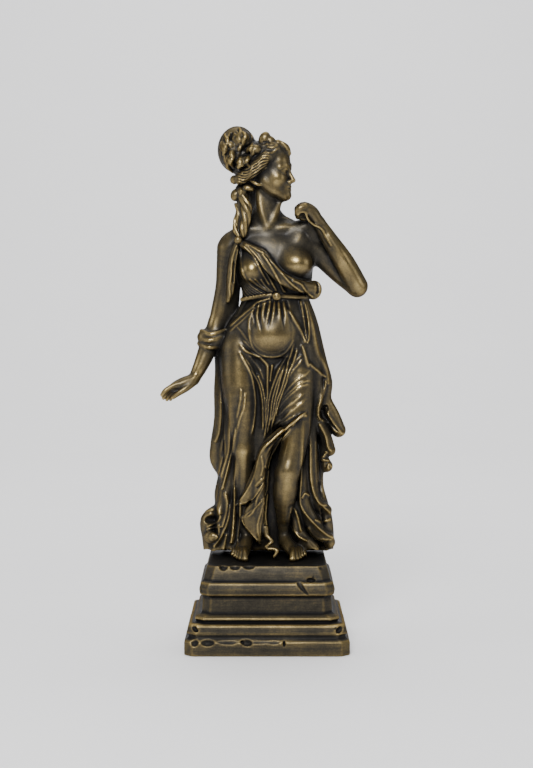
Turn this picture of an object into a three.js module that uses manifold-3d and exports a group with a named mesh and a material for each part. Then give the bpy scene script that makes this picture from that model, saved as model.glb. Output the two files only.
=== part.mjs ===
// A draped goddess on a stepped plinth, after the antique: a table statue cast with a bronze finish.
// Units are millimetres, +Z is up, and the figure looks towards -Y. The origin is the middle of the
// plinth's underside.
//
// The figure is modelled like clay: rounded forms are joined into one field, folds are drawn on its front
// and back as raised lines and sheets, and the surface of the field is turned into triangles and thinned.
// Forms are drawn in steps of 0.6 mm, as they look from in front: x to the right, z up, and y the true
// depth behind the plinth's middle. The eye stands eyeDistance away, and truePlace undoes the perspective.

import * as THREE from "three";
import { mergeVertices } from "three/addons/utils/BufferGeometryUtils.js";
import Module from "manifold-3d";

// Driving dimensions
const step = 0.6; // millimetres in one drawing step
const plinthTop = 84.4 * step; // height of the surface the figure stands on
const seatGap = 0.3; // left between the figure and the plinth
const eyeDistance = 1700; // steps from the eye to the plinth's middle
const eyeHeight = 342.5;
const aimHeight = 258.5; // the eye looks at this height, which is drawn at aimDrawn
const aimDrawn = 256;
const cell = 2.3; // size of the modelling grid, in drawing steps
const farAway = 50; // the field's value in untouched space
const figureTriangles = 8300;
const hem = { height: 92.5, back: 41 }; // the cloth ends at this drawn height, in front of this depth

// Small number helpers
const clamp = (v, low, high) => Math.min(high, Math.max(low, v));
const mix = (a, b, t) => a + (b - a) * t;
const mixPoints = (p, q, t) => p.map((v, i) => mix(v, q[i], t));
const smoothStep = (t) => t * t * (3 - 2 * t);
const radians = (degrees) => (degrees * Math.PI) / 180;

function smoothMin(a, b, blend) {
  const h = Math.max(blend - Math.abs(a - b), 0) / blend;
  return Math.min(a, b) - (h * h * blend) / 4;
}

// A drawn point in true millimetres.
const lookDown = Math.atan2(eyeHeight - aimHeight, eyeDistance);

function truePlace(x, y, z) {
  const up = z - aimDrawn;
  const near = (eyeDistance + y) / (eyeDistance + up * Math.sin(lookDown));
  const fall = up * Math.cos(lookDown) - (eyeHeight - aimHeight);
  return [x * near * step, y * step, (eyeHeight + fall * near) * step];
}

// Points along a smooth curve through the given ones, `pieces` for each span.
function curveThrough(points, pieces) {
  const made = [];
  const last = points.length - 1;
  for (let i = 0; i < last; i++) {
    const [a, b, c, d] = [i - 1, i, i + 1, i + 2].map((k) => points[clamp(k, 0, last)]);
    for (let j = 0; j < pieces; j++) {
      const t = j / pieces;
      made.push(
        b.map((_, k) => {
          const bend = 2 * a[k] - 5 * b[k] + 4 * c[k] - d[k];
          const twist = 3 * (b[k] - c[k]) + d[k] - a[k];
          return b[k] + 0.5 * t * (c[k] - a[k] + t * (bend + t * twist));
        }),
      );
    }
  }
  made.push(points[last]);
  return made;
}

// Rounded forms: each has a box around it and a signed distance.

// A tapered, bending round bar; `deep` flattens it from front to back.
function limb(points, radii, { deep = 1, pieces = 4 } = {}) {
  const given = points.map((p, i) => [...p, radii[Math.min(i, radii.length - 1)]]);
  const path = curveThrough(given, pieces);
  const widest = Math.max(...radii);
  const reach = [widest, widest * deep, widest];
  const distance = (x, y, z) => {
    let best = Infinity;
    for (let i = 1; i < path.length; i++) {
      const [ax, ay, az, ar] = path[i - 1];
      const [bx, by, bz, br] = path[i];
      const [ex, ey, ez] = [bx - ax, (by - ay) / deep, bz - az];
      const [px, py, pz] = [x - ax, (y - ay) / deep, z - az];
      const along = (px * ex + py * ey + pz * ez) / (ex * ex + ey * ey + ez * ez + 1e-9);
      const t = clamp(along, 0, 1);
      const away = Math.hypot(px - t * ex, py - t * ey, pz - t * ez);
      best = Math.min(best, away - mix(ar, br, t));
    }
    return best * Math.min(1, deep);
  };
  return {
    low: [0, 1, 2].map((k) => Math.min(...path.map((p) => p[k])) - reach[k]),
    high: [0, 1, 2].map((k) => Math.max(...path.map((p) => p[k])) + reach[k]),
    distance,
  };
}

// An ellipsoid, turned by `tilt` degrees clockwise as seen from in front.
function blob(centre, radii, tilt = 0) {
  const [c, s] = [Math.cos(radians(tilt)), Math.sin(radians(tilt))];
  const widest = Math.max(...radii);
  const distance = (x, y, z) => {
    const [dx, dy, dz] = [x - centre[0], y - centre[1], z - centre[2]];
    const local = [c * dx - s * dz, dy, s * dx + c * dz];
    const near = Math.hypot(...local.map((v, k) => v / radii[k]));
    const steep = Math.hypot(...local.map((v, k) => v / radii[k] ** 2));
    return (near * (near - 1)) / (steep + 1e-9);
  };
  return {
    low: centre.map((v) => v - widest),
    high: centre.map((v) => v + widest),
    distance,
  };
}

// A trunk whose level sections are ovals; each row is [z, left, right, front, back], from the top down.
function trunk(rows) {
  const path = curveThrough(rows.toReversed(), 6);
  let [level, section] = [NaN, []];
  const distance = (x, y, z) => {
    if (z !== level) {
      level = z;
      const i = clamp(path.filter((row) => row[0] < z).length, 1, path.length - 1);
      const t = clamp((z - path[i - 1][0]) / (path[i][0] - path[i - 1][0]), 0, 1);
      section = mixPoints(path[i - 1], path[i], t);
    }
    const [, left, right, front, back] = section;
    const [a, b] = [(right - left) / 2, (back - front) / 2];
    const [dx, dy] = [x - (left + right) / 2, y - (front + back) / 2];
    const near = Math.hypot(dx / a, dy / b);
    const steep = Math.hypot(dx / a ** 2, dy / b ** 2);
    const side = (near * (near - 1)) / (steep + 1e-9);
    return Math.max(side, path[0][0] - z, z - path.at(-1)[0]);
  };
  const column = (k) => path.map((row) => row[k]);
  return {
    low: [Math.min(...column(1)), Math.min(...column(3)), path[0][0]],
    high: [Math.max(...column(2)), Math.max(...column(4)), path.at(-1)[0]],
    distance,
  };
}

// A height map over the drawing: raised sheets of cloth, with the ridges and grooves of folds on top.
class Relief {
  constructor(low, high) {
    this.low = [low[0], low[2]];
    this.size = [high[0] - low[0] + 1, high[2] - low[2] + 1].map(Math.ceil);
    const count = this.size[0] * this.size[1];
    [this.sheets, this.ridges] = [new Float32Array(count), new Float32Array(count)];
  }

  // Calls change(index, x, z) for each place within `reach` of a path's box.
  visit(path, reach, change) {
    const [low, high] = [Math.min, Math.max].map((most, end) =>
      [0, 1].map((k) => {
        const bound = most(...path.map((p) => p[k])) - this.low[k] + (end ? reach : -reach);
        return clamp(Math.round(bound), 0, this.size[k] - 1);
      }),
    );
    for (let j = low[1]; j <= high[1]; j++)
      for (let i = low[0]; i <= high[0]; i++) {
        change(j * this.size[0] + i, i + this.low[0], j + this.low[1]);
      }
  }

  // One fold through [x, z] points. `fade` thins the ends: [start, end].
  line(points, width, height, fade = [0.25, 0.25]) {
    const path = curveThrough(points, 5);
    this.visit(path, width, (at, x, z) => {
      const [away, t] = nearestOnPath(path, x, z);
      if (away >= width) return;
      const ends = Math.min(1, (t + 0.02) / (fade[0] + 1e-6), (1.02 - t) / (fade[1] + 1e-6));
      const h = height * (1 - away / width) ** 1.3 * smoothStep(ends);
      this.ridges[at] = Math.max(this.ridges[at], h);
    });
  }

  // `count` folds, spread evenly from the first line to the last one.
  fan(first, last, count, width, height, fade) {
    for (let i = 0; i < count; i++) {
      const share = count > 1 ? i / (count - 1) : 0;
      this.line(first.map((p, k) => mixPoints(p, last[k], share)), width, height, fade);
    }
  }

  // A piece of cloth with a crisp edge, raised above what is behind it.
  sheet(outline, height, soft = 2.4) {
    const path = [...outline, outline[0]];
    this.visit(path, soft, (at, x, z) => {
      const [edge] = nearestOnPath(path, x, z);
      const crossed = path.slice(1).filter((b, i) => {
        const a = path[i];
        return a[1] > z !== b[1] > z && x < a[0] + ((b[0] - a[0]) * (z - a[1])) / (b[1] - a[1]);
      });
      const inward = crossed.length % 2 ? edge : -edge;
      const h = height * smoothStep(clamp(0.5 + inward / soft, 0, 1));
      this.sheets[at] = Math.max(this.sheets[at], h);
    });
  }

  at(x, z) {
    const i = clamp(Math.round(x - this.low[0]), 0, this.size[0] - 1);
    const j = clamp(Math.round(z - this.low[1]), 0, this.size[1] - 1);
    const index = j * this.size[0] + i;
    return this.sheets[index] + this.ridges[index];
  }
}

// Distance to a path in the drawing, and how far along the path the nearest point lies, from 0 to 1.
function nearestOnPath(path, x, z) {
  let [best, share] = [Infinity, 0];
  for (let i = 1; i < path.length; i++) {
    const [a, b] = [path[i - 1], path[i]];
    const [ex, ez] = [b[0] - a[0], b[1] - a[1]];
    const t = clamp(((x - a[0]) * ex + (z - a[1]) * ez) / (ex * ex + ez * ez + 1e-9), 0, 1);
    const away = Math.hypot(x - a[0] - t * ex, z - a[1] - t * ez);
    if (away < best) [best, share] = [away, (i - 1 + t) / (path.length - 1)];
  }
  return [best, share];
}

// The field that the forms are joined into: negative inside, measured in drawing steps.
class Clay {
  constructor(low, high) {
    [this.low, this.high] = [low, high];
    this.size = low.map((v, k) => Math.ceil((high[k] - v) / cell) + 1);
    this.field = new Float32Array(this.size[0] * this.size[1] * this.size[2]).fill(farAway);
  }

  index(i, j, k) {
    return (k * this.size[1] + j) * this.size[0] + i;
  }

  // Replaces each value in a box by change(value, x, y, z).
  visit(low, high, change) {
    const from = low.map((v, k) => Math.max(0, Math.ceil((v - this.low[k]) / cell)));
    const to = high.map((v, k) => Math.min(this.size[k] - 1, Math.floor((v - this.low[k]) / cell)));
    for (let k = from[2]; k <= to[2]; k++)
      for (let j = from[1]; j <= to[1]; j++)
        for (let i = from[0]; i <= to[0]; i++) {
          const at = this.index(i, j, k);
          const [x, y, z] = [this.low[0] + i * cell, this.low[1] + j * cell, this.low[2] + k * cell];
          this.field[at] = change(this.field[at], x, y, z);
        }
  }

  add(shape, blend = 3) {
    const pad = blend + 3 * cell;
    const [low, high] = [shape.low.map((v) => v - pad), shape.high.map((v) => v + pad)];
    this.visit(low, high, (v, x, y, z) => smoothMin(v, shape.distance(x, y, z), blend));
  }

  carve(shape, blend = 2) {
    const pad = blend + 3 * cell;
    const [low, high] = [shape.low.map((v) => v - pad), shape.high.map((v) => v + pad)];
    this.visit(low, high, (v, x, y, z) => -smoothMin(-v, shape.distance(x, y, z), blend));
  }

  // Depth of the first surface met from in front (side 1) or from behind (side -1).
  surface(x, z, side = 1) {
    const i = clamp(Math.round((x - this.low[0]) / cell), 0, this.size[0] - 1);
    const k = clamp(Math.round((z - this.low[2]) / cell), 0, this.size[2] - 1);
    const last = this.size[1] - 1;
    for (let n = 1; n <= last; n++) {
      const j = side > 0 ? n : last - n;
      const [here, before] = [this.field[this.index(i, j, k)], this.field[this.index(i, j - side, k)]];
      if (here < 0 && before >= 0) {
        return this.low[1] + (j - side * (here / (here - before))) * cell;
      }
    }
    return NaN;
  }

  // Raises or sinks the surface by a relief, down to `reach` behind the first surface on that side.
  press(relief, side = 1, reach = 12) {
    const depths = new Float32Array(this.size[0] * this.size[2]);
    for (let k = 0; k < this.size[2]; k++)
      for (let i = 0; i < this.size[0]; i++) {
        depths[k * this.size[0] + i] = this.surface(this.low[0] + i * cell, this.low[2] + k * cell, side);
      }
    this.visit(this.low, this.high, (v, x, y, z) => {
      const height = relief.at(x, z);
      if (!height) return v;
      const i = Math.round((x - this.low[0]) / cell);
      const k = Math.round((z - this.low[2]) / cell);
      const behind = (y - depths[k * this.size[0] + i]) * side;
      return Number.isNaN(behind) ? v : v - height * smoothStep(clamp(2 - behind / reach, 0, 1));
    });
  }
}

// The undressed body. The weight is on the leg at the left of the drawing; the other knee comes forward.
function body(clay) {
  const chest = trunk([
    [418, -14, 16, -4, 12],
    [408, -30, 30, -12, 17],
    [395, -36, 43, -18, 21],
    [380, -32, 46, -21, 22],
    [360, -28, 45, -20, 20],
    [343, -25, 42, -19, 18],
    [325, -32, 46, -24, 21],
    [308, -42, 49, -25, 24],
    [285, -44, 50, -20, 26],
  ]);
  clay.add(chest, 0.1);
  clay.add(limb([[-1, 3, 448], [0, 2, 412]], [12, 14]), 6); // neck
  clay.add(limb([[-2, 4, 424], [-32, 4, 398]], [10, 12]), 8); // shoulders
  clay.add(limb([[2, 4, 423], [32, 3, 403]], [9, 13.5]), 8);
  clay.add(blob([-13, -10, 380], [12, 10, 12]), 7); // breasts
  clay.add(blob([-15, -17, 369.5], [11.5, 12, 11.5]), 5);
  clay.add(blob([27, -9, 387], [14, 11, 13]), 8);
  clay.add(blob([30, -15, 376.5], [15.5, 14.5, 13.5]), 5);
  clay.add(blob([5, -11, 312], [29, 21, 30]), 8); // belly
  const standing = [[-27, -3, 290], [-28, -8, 255], [-25, -10, 220], [-23.5, -10, 190]];
  clay.add(limb(standing, [20, 17.5, 13, 10]), 6);
  const shin = [[-23.5, -10, 190], [-23, -5, 160], [-22, -4, 125], [-20.5, -3, 102]];
  clay.add(limb(shin, [10, 8.5, 6.5, 5.5]), 4);
  clay.add(limb([[32, -4, 290], [31, -14, 240], [29, -18, 200], [21, -22, 168]], [20, 16, 13.5, 13]), 6);
  clay.add(limb([[19, -23, 164], [19, -17, 143], [17.5, -8, 123], [17, -3, 105]], [12.5, 11.5, 7.5, 5.2]), 4);
}

// A bare foot from the ankle's x to the big toe's; `outward` is 1 if its little toe is to the right.
function foot(clay, ankle, toe, outward) {
  const outer = toe + 8 * outward;
  clay.add(limb([[ankle, -1, 104], [mix(ankle, toe, 0.5), -12, 93], [toe, -22, 86]], [5.8, 6.4, 4.8]), 3);
  clay.add(limb([[ankle, -2, 96], [mix(ankle, outer, 0.6), -9, 91], [outer, -12, 88]], [5.4, 6, 4.4]), 4);
  const toes = [[0, -32, 81, 3.6], [5.4, -28, 83, 3], [9.4, -21, 85.5, 2.8], [12.4, -14, 88, 2.6]];
  for (const [across, depth, height, size] of toes) {
    const knuckle = [toe + 0.8 * across * outward, depth + 9, height + 8];
    clay.add(limb([knuckle, [toe + across * outward, depth, height]], [size]), 0.5);
  }
}

// The arm that hangs, its hand held out, and the raised arm, its hand drooping by the shoulder.
function arms(clay) {
  const upperArm = [[-36, 2, 391], [-39.5, 3, 371], [-42.5, 4, 350], [-50.5, 4, 316]];
  clay.add(limb(upperArm, [14.2, 11.2, 9.5, 8.5]), 5);
  clay.add(limb([[-50.5, 4, 316], [-59, 0, 292], [-66, -4, 275], [-73.5, -7, 260]], [8.5, 9, 7.6, 6]), 3);
  clay.add(limb([[-74, -7, 260], [-86, -9, 256.5], [-94, -11, 253]], [5.8, 6.2, 4.8], { deep: 1.35 }), 2);
  clay.add(limb([[-93, -14, 254.5], [-101, -16, 250], [-105, -17, 246]], [3.2, 2.8, 2.2]), 1); // forefinger
  clay.add(limb([[-92, -10, 252], [-99, -11, 247], [-101, -12, 242.5]], [3.2, 2.8, 2.2]), 1);
  clay.add(limb([[-90, -6, 251], [-95, -6, 246], [-96, -6, 241.5]], [3, 2.6, 2]), 1);
  const thumb = [[-73, -13, 256], [-81, -17, 250.5], [-88, -18, 246.5], [-95, -18, 242]];
  clay.add(limb(thumb, [3.4, 3.2, 2.8, 2]), 1.5);

  clay.add(limb([[33, 1, 400], [52, -1, 387], [71, -4, 367.5], [90, -6, 352.5]], [15.5, 12, 9.7, 10]), 5);
  clay.add(limb([[90, -8, 354], [77, -13, 378], [63, -14, 400], [52, -14, 418]], [11.2, 10.5, 8.6, 6.8]), 2);
  const hand = [[51, -16, 418], [45, -17, 427], [37.5, -18, 431], [32, -18, 430]];
  clay.add(limb(hand, [6.8, 7.6, 7, 5.8], { deep: 1.3 }), 2);
  clay.add(blob([48, -8, 410], [9, 7, 13], -20), 4); // heel of the hand, close above the shoulder
  clay.add(blob([37, -13, 425.5], [8, 8, 6.5]), 2);
  clay.add(blob([38, -3, 413], [13, 9, 8]), 3); // top of the shoulder
  for (const depth of [-22.5, -16.5, -11]) {
    clay.add(limb([[36, depth, 432], [31.5, depth, 428.5], [31.5, depth, 424]], [4.2, 4.2, 3.2]), 1);
  }
}

// A point of the head: steps forward along the gaze, to the figure's right (towards the eye), and up.
function onHead(forward, near, up) {
  const turn = radians(20);
  return [
    1 + forward * Math.cos(turn) - near * Math.sin(turn),
    2 - forward * Math.sin(turn) - near * Math.cos(turn),
    469 + up,
  ];
}

function head(clay) {
  clay.add(blob(onHead(-1, 0, 6), [23, 19, 22]), 4);
  clay.add(blob(onHead(11, 0, -9), [16.5, 14.5, 19]), 5);
  clay.add(blob(onHead(19.5, 0, -23.5), [6.5, 6.5, 5.5]), 4); // chin
  clay.add(limb([onHead(25, 0, 5), onHead(29, 0, -5)], [2, 3]), 2); // nose
  clay.add(limb([onHead(25, -2.5, -13), onHead(25, 2.5, -13)], [2.4]), 2); // lips
  for (const side of [-1, 1]) clay.carve(blob(onHead(24, side * 8, 2), [3, 4, 3]), 2);
}

// Hair combed up to a high bun, with leaves tucked in and twisted locks on the shoulder.
function hair(clay) {
  clay.add(blob([-8, 4, 480], [22, 20, 19]), 2);
  clay.add(blob([2, 1, 486.5], [21, 18, 14], 8), 2);
  clay.add(blob([-30, 7, 490.5], [19.8, 17.4, 23.8], 3), 3); // bun
  clay.add(limb([[10, -8, 489], [-2, -15, 481], [-14, -16, 470], [-27, -10, 461]], [5, 6.5, 7, 6.5]), 2);
  clay.add(limb([[22, -5, 486.5], [19, -8, 493], [11, -10, 497]], [3, 3.6, 4]), 2); // over the forehead
  clay.add(limb([[-20, 8, 472], [-15, 17, 450], [-10, 17, 426]], [13, 10, 7]), 5); // nape
  clay.add(limb([[-25, -2, 450], [-24, -6, 436], [-23, -9, 420], [-24, -11, 406]], [8, 7, 7, 5]), 2);
  const leaves = [
    [[-11.5, -14, 491], [6.6, 5.4, 5.4], 10],
    [[-24, -15, 477.5], [8.6, 5, 5], -42],
    [[5.5, -12, 491.5], [9, 5, 7], 25],
    [[-0.5, -8, 500.5], [7.4, 7, 7], 15],
    [[-33, -12, 483], [4, 4.6, 5.4], 25],
    [[-26.5, -11, 498], [5, 5, 4.4], -30],
    [[-32.5, -8, 460.3], [5, 5, 5], 0],
    [[-25.5, -9, 448], [5, 5, 5], 0],
    [[-31.5, -6, 445], [5, 6, 6.4], 15],
    [[-18.5, -10, 452], [6, 4.6, 3.6], 20],
  ];
  for (const [centre, radii, tilt] of leaves) clay.add(blob(centre, radii, tilt), 1);
  const frontLock = [[-25, -9, 443], [-21, -13, 433], [-20.5, -15, 422], [-23, -16, 412], [-24, -17, 404]];
  twistedLock(clay, frontLock, 5.8);
  twistedLock(clay, [[-30, -6, 434], [-28, -9, 426], [-31, -10, 417], [-31, -12, 409], [-27, -15, 403]], 3.8);
}

// A lock of hair: two strands wound round a path.
function twistedLock(clay, path, size) {
  const spine = curveThrough(path, 4);
  for (const start of [0, Math.PI]) {
    const wound = spine.map(([x, y, z], i) => {
      const turn = start + (i / (spine.length - 1)) * 1.4 * Math.PI;
      return [x + 0.45 * size * Math.cos(turn), y + 0.45 * size * Math.sin(turn), z];
    });
    const radii = spine.map((_, i) => size * mix(0.62, 0.36, i / (spine.length - 1)));
    clay.add(limb(wound, radii, { pieces: 1 }), 0.8);
  }
}

// The long dress, with its bulk, the belt and the cloth pushed up round one forearm.
function dress(clay) {
  const skirt = trunk([
    [322, -34, 47, -17, 22],
    [300, -44, 49, -18, 26],
    [270, -45, 52, -15, 30],
    [240, -45, 54, -11, 33],
    [200, -43, 50, -8, 36],
    [160, -43, 50, -5, 39],
    [120, -47, 55, -2, 43],
    [95, -54, 60, 3, 47],
    [76, -56, 62, 5, 50],
  ]);
  clay.add(skirt, 4);
  clay.add(limb([[-25, -14, 340], [4, -21, 345], [24, -20, 343], [43, -12, 343]], [3.4]), 1.5);
  clay.add(limb([[-24, 10, 341], [8, 18, 343], [42, 10, 343]], [3.4]), 1.5);
  clay.add(blob([10, -23, 343.5], [5, 4, 5]), 1);
  clay.add(blob([-29, -19, 400], [5, 5, 5]), 1); // brooch
  for (const [drop, size] of [[0, 4.4], [-7, 4.4], [-15, 4.6]]) {
    clay.add(limb([[-64, 2, 303 + drop], [-56, -9, 299 + drop], [-46, -4, 298 + drop]], [size]), 1.5);
    clay.add(limb([[-64, 2, 303 + drop], [-56, 11, 302 + drop], [-46, 9, 299 + drop]], [size]), 1.5);
  }
  // Cloth from the forearm to the hip, and behind the arm.
  clay.add(limb([[-46, 6, 294], [-42, 6, 270], [-40, 4, 250]], [8, 9, 8]), 4);
  clay.add(limb([[-32, 7, 362], [-36, 8, 335], [-41, 8, 306]], [6, 8, 8]), 4);
}

// The mantle: a scarf over the breast, hanging folds on both sides, and an end that falls between the legs.
const mantleFolds = [
  [
    [[-24, -19, 398], [-10, -24, 391], [3, -29, 380], [16, -27, 367], [32, -28, 358], [47, -16, 351]],
    [4, 4.4, 4, 4, 4.4, 6.5],
  ],
  [[[-31, -14, 396], [-35, -13, 378], [-36, -12, 358], [-39, -8, 341]], [4.4, 5, 4.5, 2]],
  [
    [[-44, 5, 288], [-46.5, 4, 254], [-46, 3, 222], [-49.5, 4, 197], [-50, 5, 180], [-42, 6, 166]],
    [6, 6.5, 7, 7, 7, 6],
  ],
  [
    [[-42, 6, 168], [-45, 6, 148], [-46, 6, 132], [-57.5, 6, 120], [-57, 9, 103], [-55, 14, 86]],
    [6, 7.5, 7.5, 9, 8, 8],
  ],
  [
    [[-37, -6, 286], [-36, -7, 250], [-37, -7, 214], [-43, -5, 193], [-47, -3, 176], [-48, 0, 158]],
    [4, 5, 5.5, 5.5, 5, 4],
  ],
  [
    [[-31, -8, 236], [-31, -10, 206], [-37, -8, 166], [-41, -6, 134], [-45, -4, 106], [-47, 0, 82]],
    [4, 5, 5.5, 6, 6.5, 7],
  ],
  [[[-26, -9, 180], [-30, -9, 150], [-33, -7, 118], [-35, -4, 82]], [3, 4.5, 6, 7]],
  [
    [[38, -8, 340], [45, -5, 318], [50, -3, 295], [53.5, -3, 278], [59, -1, 258], [58, 0, 241], [66, 1, 225],
      [71.5, 2, 210]],
    [5, 6, 6.5, 7, 6.5, 7, 7, 7.5],
  ],
  [
    [[36, -14, 338], [42, -15, 312], [47, -12, 280], [50, -10, 252], [50, -8, 222], [58, -4, 205],
      [62.5, -1, 190]],
    [3, 5, 5, 5, 5.5, 6.5, 6.5],
  ],
  [
    [[46, -10, 240], [44, -12, 205], [44, -12, 176], [46, -11, 150], [52, -8, 136], [61, -5, 131]],
    [4, 5, 5, 4.5, 4.5, 4],
  ],
  [[[54, 9, 244], [57, 9, 222], [56, 7, 200], [54, 2, 184], [59.5, 2, 174]], [7, 8, 8, 7, 6.5]],
  [
    [[50, 2, 176], [50, 2, 155], [53, 2, 138], [57.5, 2, 122], [60, 6, 104], [58, 12, 82]],
    [7, 6.5, 8, 8, 7, 8],
  ],
  [
    [[35, -15, 200], [34, -15, 170], [33, -14, 150], [36, -13, 132], [42, -12, 118], [52, -9, 108],
      [64, -5, 100]],
    [4, 5, 5, 5, 5, 5, 4.5],
  ],
  [[[27, -14, 140], [25, -14, 124], [28, -13, 110], [36, -12, 100], [46, -10, 92]], [3.5, 4.5, 5, 5, 5]],
  [
    [[14, -29, 210], [0, -30, 194], [-6, -28, 172], [-8, -25, 150], [-9, -22, 130], [-6, -18, 108]],
    [4, 5.6, 6.6, 7, 7, 5],
  ],
  [[[-1, -19, 106], [3, -21, 100], [0, -23, 92], [7, -26, 88], [6, -28, 83]], [3, 2.6, 2.8, 2.6, 2]],
];

function mantle(clay) {
  for (const [points, radii] of mantleFolds) clay.add(limb(points, radii, { deep: 1.2 }), 2.5);
  clay.add(blob([46, -13, 348], [7, 6, 9.5]), 2); // knot under the breast
  clay.add(blob([62, 0, 98], [6.5, 8, 7]), 2);
  clay.add(blob([-56, -3, 104], [8, 6, 6.5], 20), 2);
  clay.carve(blob([57, -9, 228], [4, 8, 7], 20), 1.5); // hollows that show dark
  clay.carve(blob([-56, -9, 121], [7, 7, 5], 5), 1.5);
  clay.carve(blob([48, -20, 351], [2.5, 5, 5]), 1);
}

// Folds on the front: the thin dress that clings to the belly and legs, then the heavier mantle.
function frontFolds(relief) {
  const scarf = [[[-22, 398], [-6, 389], [4, 377], [15, 365]], [[-21, 389], [-11, 380], [-4, 369], [6, 350]]];
  relief.fan(...scarf, 3, 4, 3);
  relief.fan([[-27, 372], [-25, 357], [-20, 345]], [[-14, 357], [-8, 350], [-1, 347]], 4, 3.6, 2.4);
  relief.line([[14, 356], [24, 352], [40, 352]], 4, 2.4);
  relief.line([[4, 341], [-8, 337], [-15, 331], [-28, 320], [-40, 311]], 4.5, 4, [0.1, 0.1]);
  const bellyHem = [[-18, 322], [-18, 305], [-11, 292], [-1, 285], [8, 282], [18, 286], [26, 294], [30, 303]];
  relief.line(bellyHem, 3.6, 3);
  relief.fan([[-9, 338], [-15, 330], [-19, 320]], [[24, 338], [24, 324], [19, 308]], 7, 3.4, 2.2, [0.1, 0.6]);
  relief.fan([[-31, 315], [-24, 306], [-17, 297]], [[-36, 302], [-27, 294], [-16, 285]], 2, 4, 2.5);
  const stem = [[-28, 309], [-16, 295], [-8, 285], [-0.5, 277], [1.2, 268], [1, 220], [0, 208]];
  relief.line(stem, 4, 3.2, [0.1, 0.1]);
  relief.line([[-27, 287], [-19, 276], [-15, 250], [-13, 228]], 4, 2.8);
  relief.line([[-15, 260], [-12, 241], [-12, 222], [-16, 203]], 4, 3);
  const inner = [[[-9, 262], [-6, 241], [-4, 225], [-3, 205]], [[27, 296], [18, 272], [9, 244], [2, 205]]];
  relief.fan(...inner, 6, 3.4, 3, [0.3, 0.1]);
  const thigh = [
    [[45, 268], [30, 261], [22, 253], [12, 235], [5, 218]],
    [[40, 242], [27, 235], [18.5, 226], [12, 218], [5.7, 208]],
  ];
  relief.fan(...thigh, 4, 3.6, 2.2, [0.3, 0.15]);

  relief.fan([[35, 336], [40, 318], [41, 299]], [[44, 332], [50, 308], [60, 282]], 3, 4, 3);
  relief.fan([[-27, 330], [-38, 318], [-44, 300]], [[-27, 320], [-36, 306], [-38, 290]], 2, 4, 3);
  relief.fan([[-38, 250], [-38, 210], [-46, 180]], [[-24, 190], [-30, 160], [-34, 120]], 3, 4, 3);
  relief.fan([[-38, 160], [-44, 125], [-52, 92]], [[-27, 130], [-28, 112], [-29, 92]], 4, 4, 3.4);
  relief.fan([[16, 150], [14, 125], [13, 100]], [[6, 140], [6, 118], [5, 100]], 2, 4, 2);
  relief.fan([[42, 170], [44, 140], [56, 118]], [[40, 130], [50, 112], [62, 92]], 3, 4, 3.4);

  // The edge pulled across the thigh, and the two tongues of cloth that hang between the legs.
  const across = [[41, 228], [30, 221], [20, 212], [7, 201], [-4, 193]];
  const down = [[-3, 195], [-7, 185], [-12, 169], [-16, 154], [-31, 138]];
  relief.sheet([...across, ...down.slice(1), [-22, 135], [-15, 139], [-6, 147], [1, 172], [19, 203]], 3);
  relief.line(across, 4.4, 3, [0.1, 0.1]);
  relief.line(down, 3.2, 1.8, [0.1, 0.1]);
  relief.line([[-31, 136], [-15, 140], [-6.7, 148], [-1.6, 157]], 3, 2, [0.1, 0.1]);
  relief.line([[29, 215], [17, 201], [9, 188], [1, 173], [1, 156]], 3.6, 2.6);
  relief.sheet([[-27, 123], [-19, 126], [-11, 135], [-2, 144], [1, 136], [1, 107], [-6, 97], [-19, 110]], 2.6);
  relief.line([[-27, 123], [-19, 125.6], [-11, 134.6], [-2.6, 143]], 3, 2.2, [0.1, 0.1]);
  relief.line([[-6.4, 97], [-5.7, 113], [-2.6, 128.6], [-1.6, 141]], 3, 2.4, [0.1, 0.1]);
}

// Strands of hair seen from in front.
function hairStrands(relief) {
  const groups = [
    [[[2, 481], [-9, 477], [-20, 469], [-30, 470]], [[-1, 473], [-10, 465], [-20, 459], [-29, 459]]],
    [[[-37, 508], [-46, 500], [-49, 486], [-42, 470]], [[-28, 505], [-33, 494], [-37, 481], [-33, 470]]],
    [[[-36, 510], [-27, 512], [-16, 506], [-11, 494]], [[-32, 501], [-27, 503], [-21, 499], [-18, 492]]],
    [[[-10, 500], [-4, 498], [2, 500]], [[-8, 485], [-2, 486], [4, 484]]],
  ];
  for (const [first, last] of groups) relief.fan(first, last, 3, 3.4, 2.2);
}

// The plainer back: hair, the strap, gathers at the belt, swags across the hips and long falling folds.
function backFolds(relief) {
  relief.fan([[-18, 512], [-26, 496], [-34, 480]], [[14, 494], [4, 476], [-12, 462]], 5, 4, 2.4);
  relief.fan([[-20, 392], [-16, 366], [-12, 345]], [[34, 388], [28, 366], [24, 345]], 6, 4, 2.4);
  relief.fan([[-18, 342], [-26, 326], [-34, 300]], [[36, 342], [42, 326], [46, 300]], 6, 4, 2.4, [0.1, 0.7]);
  const high = [[-42, 300], [-22, 278], [6, 268], [34, 278], [50, 300]];
  const low = [[-44, 268], [-24, 240], [6, 228], [36, 240], [52, 264]];
  relief.fan(high, low, 4, 5.5, 4.4);
  relief.fan([[-40, 262], [-44, 180], [-54, 86]], [[46, 262], [50, 180], [60, 86]], 10, 6, 5.4, [0.3, 0.02]);
}

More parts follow.
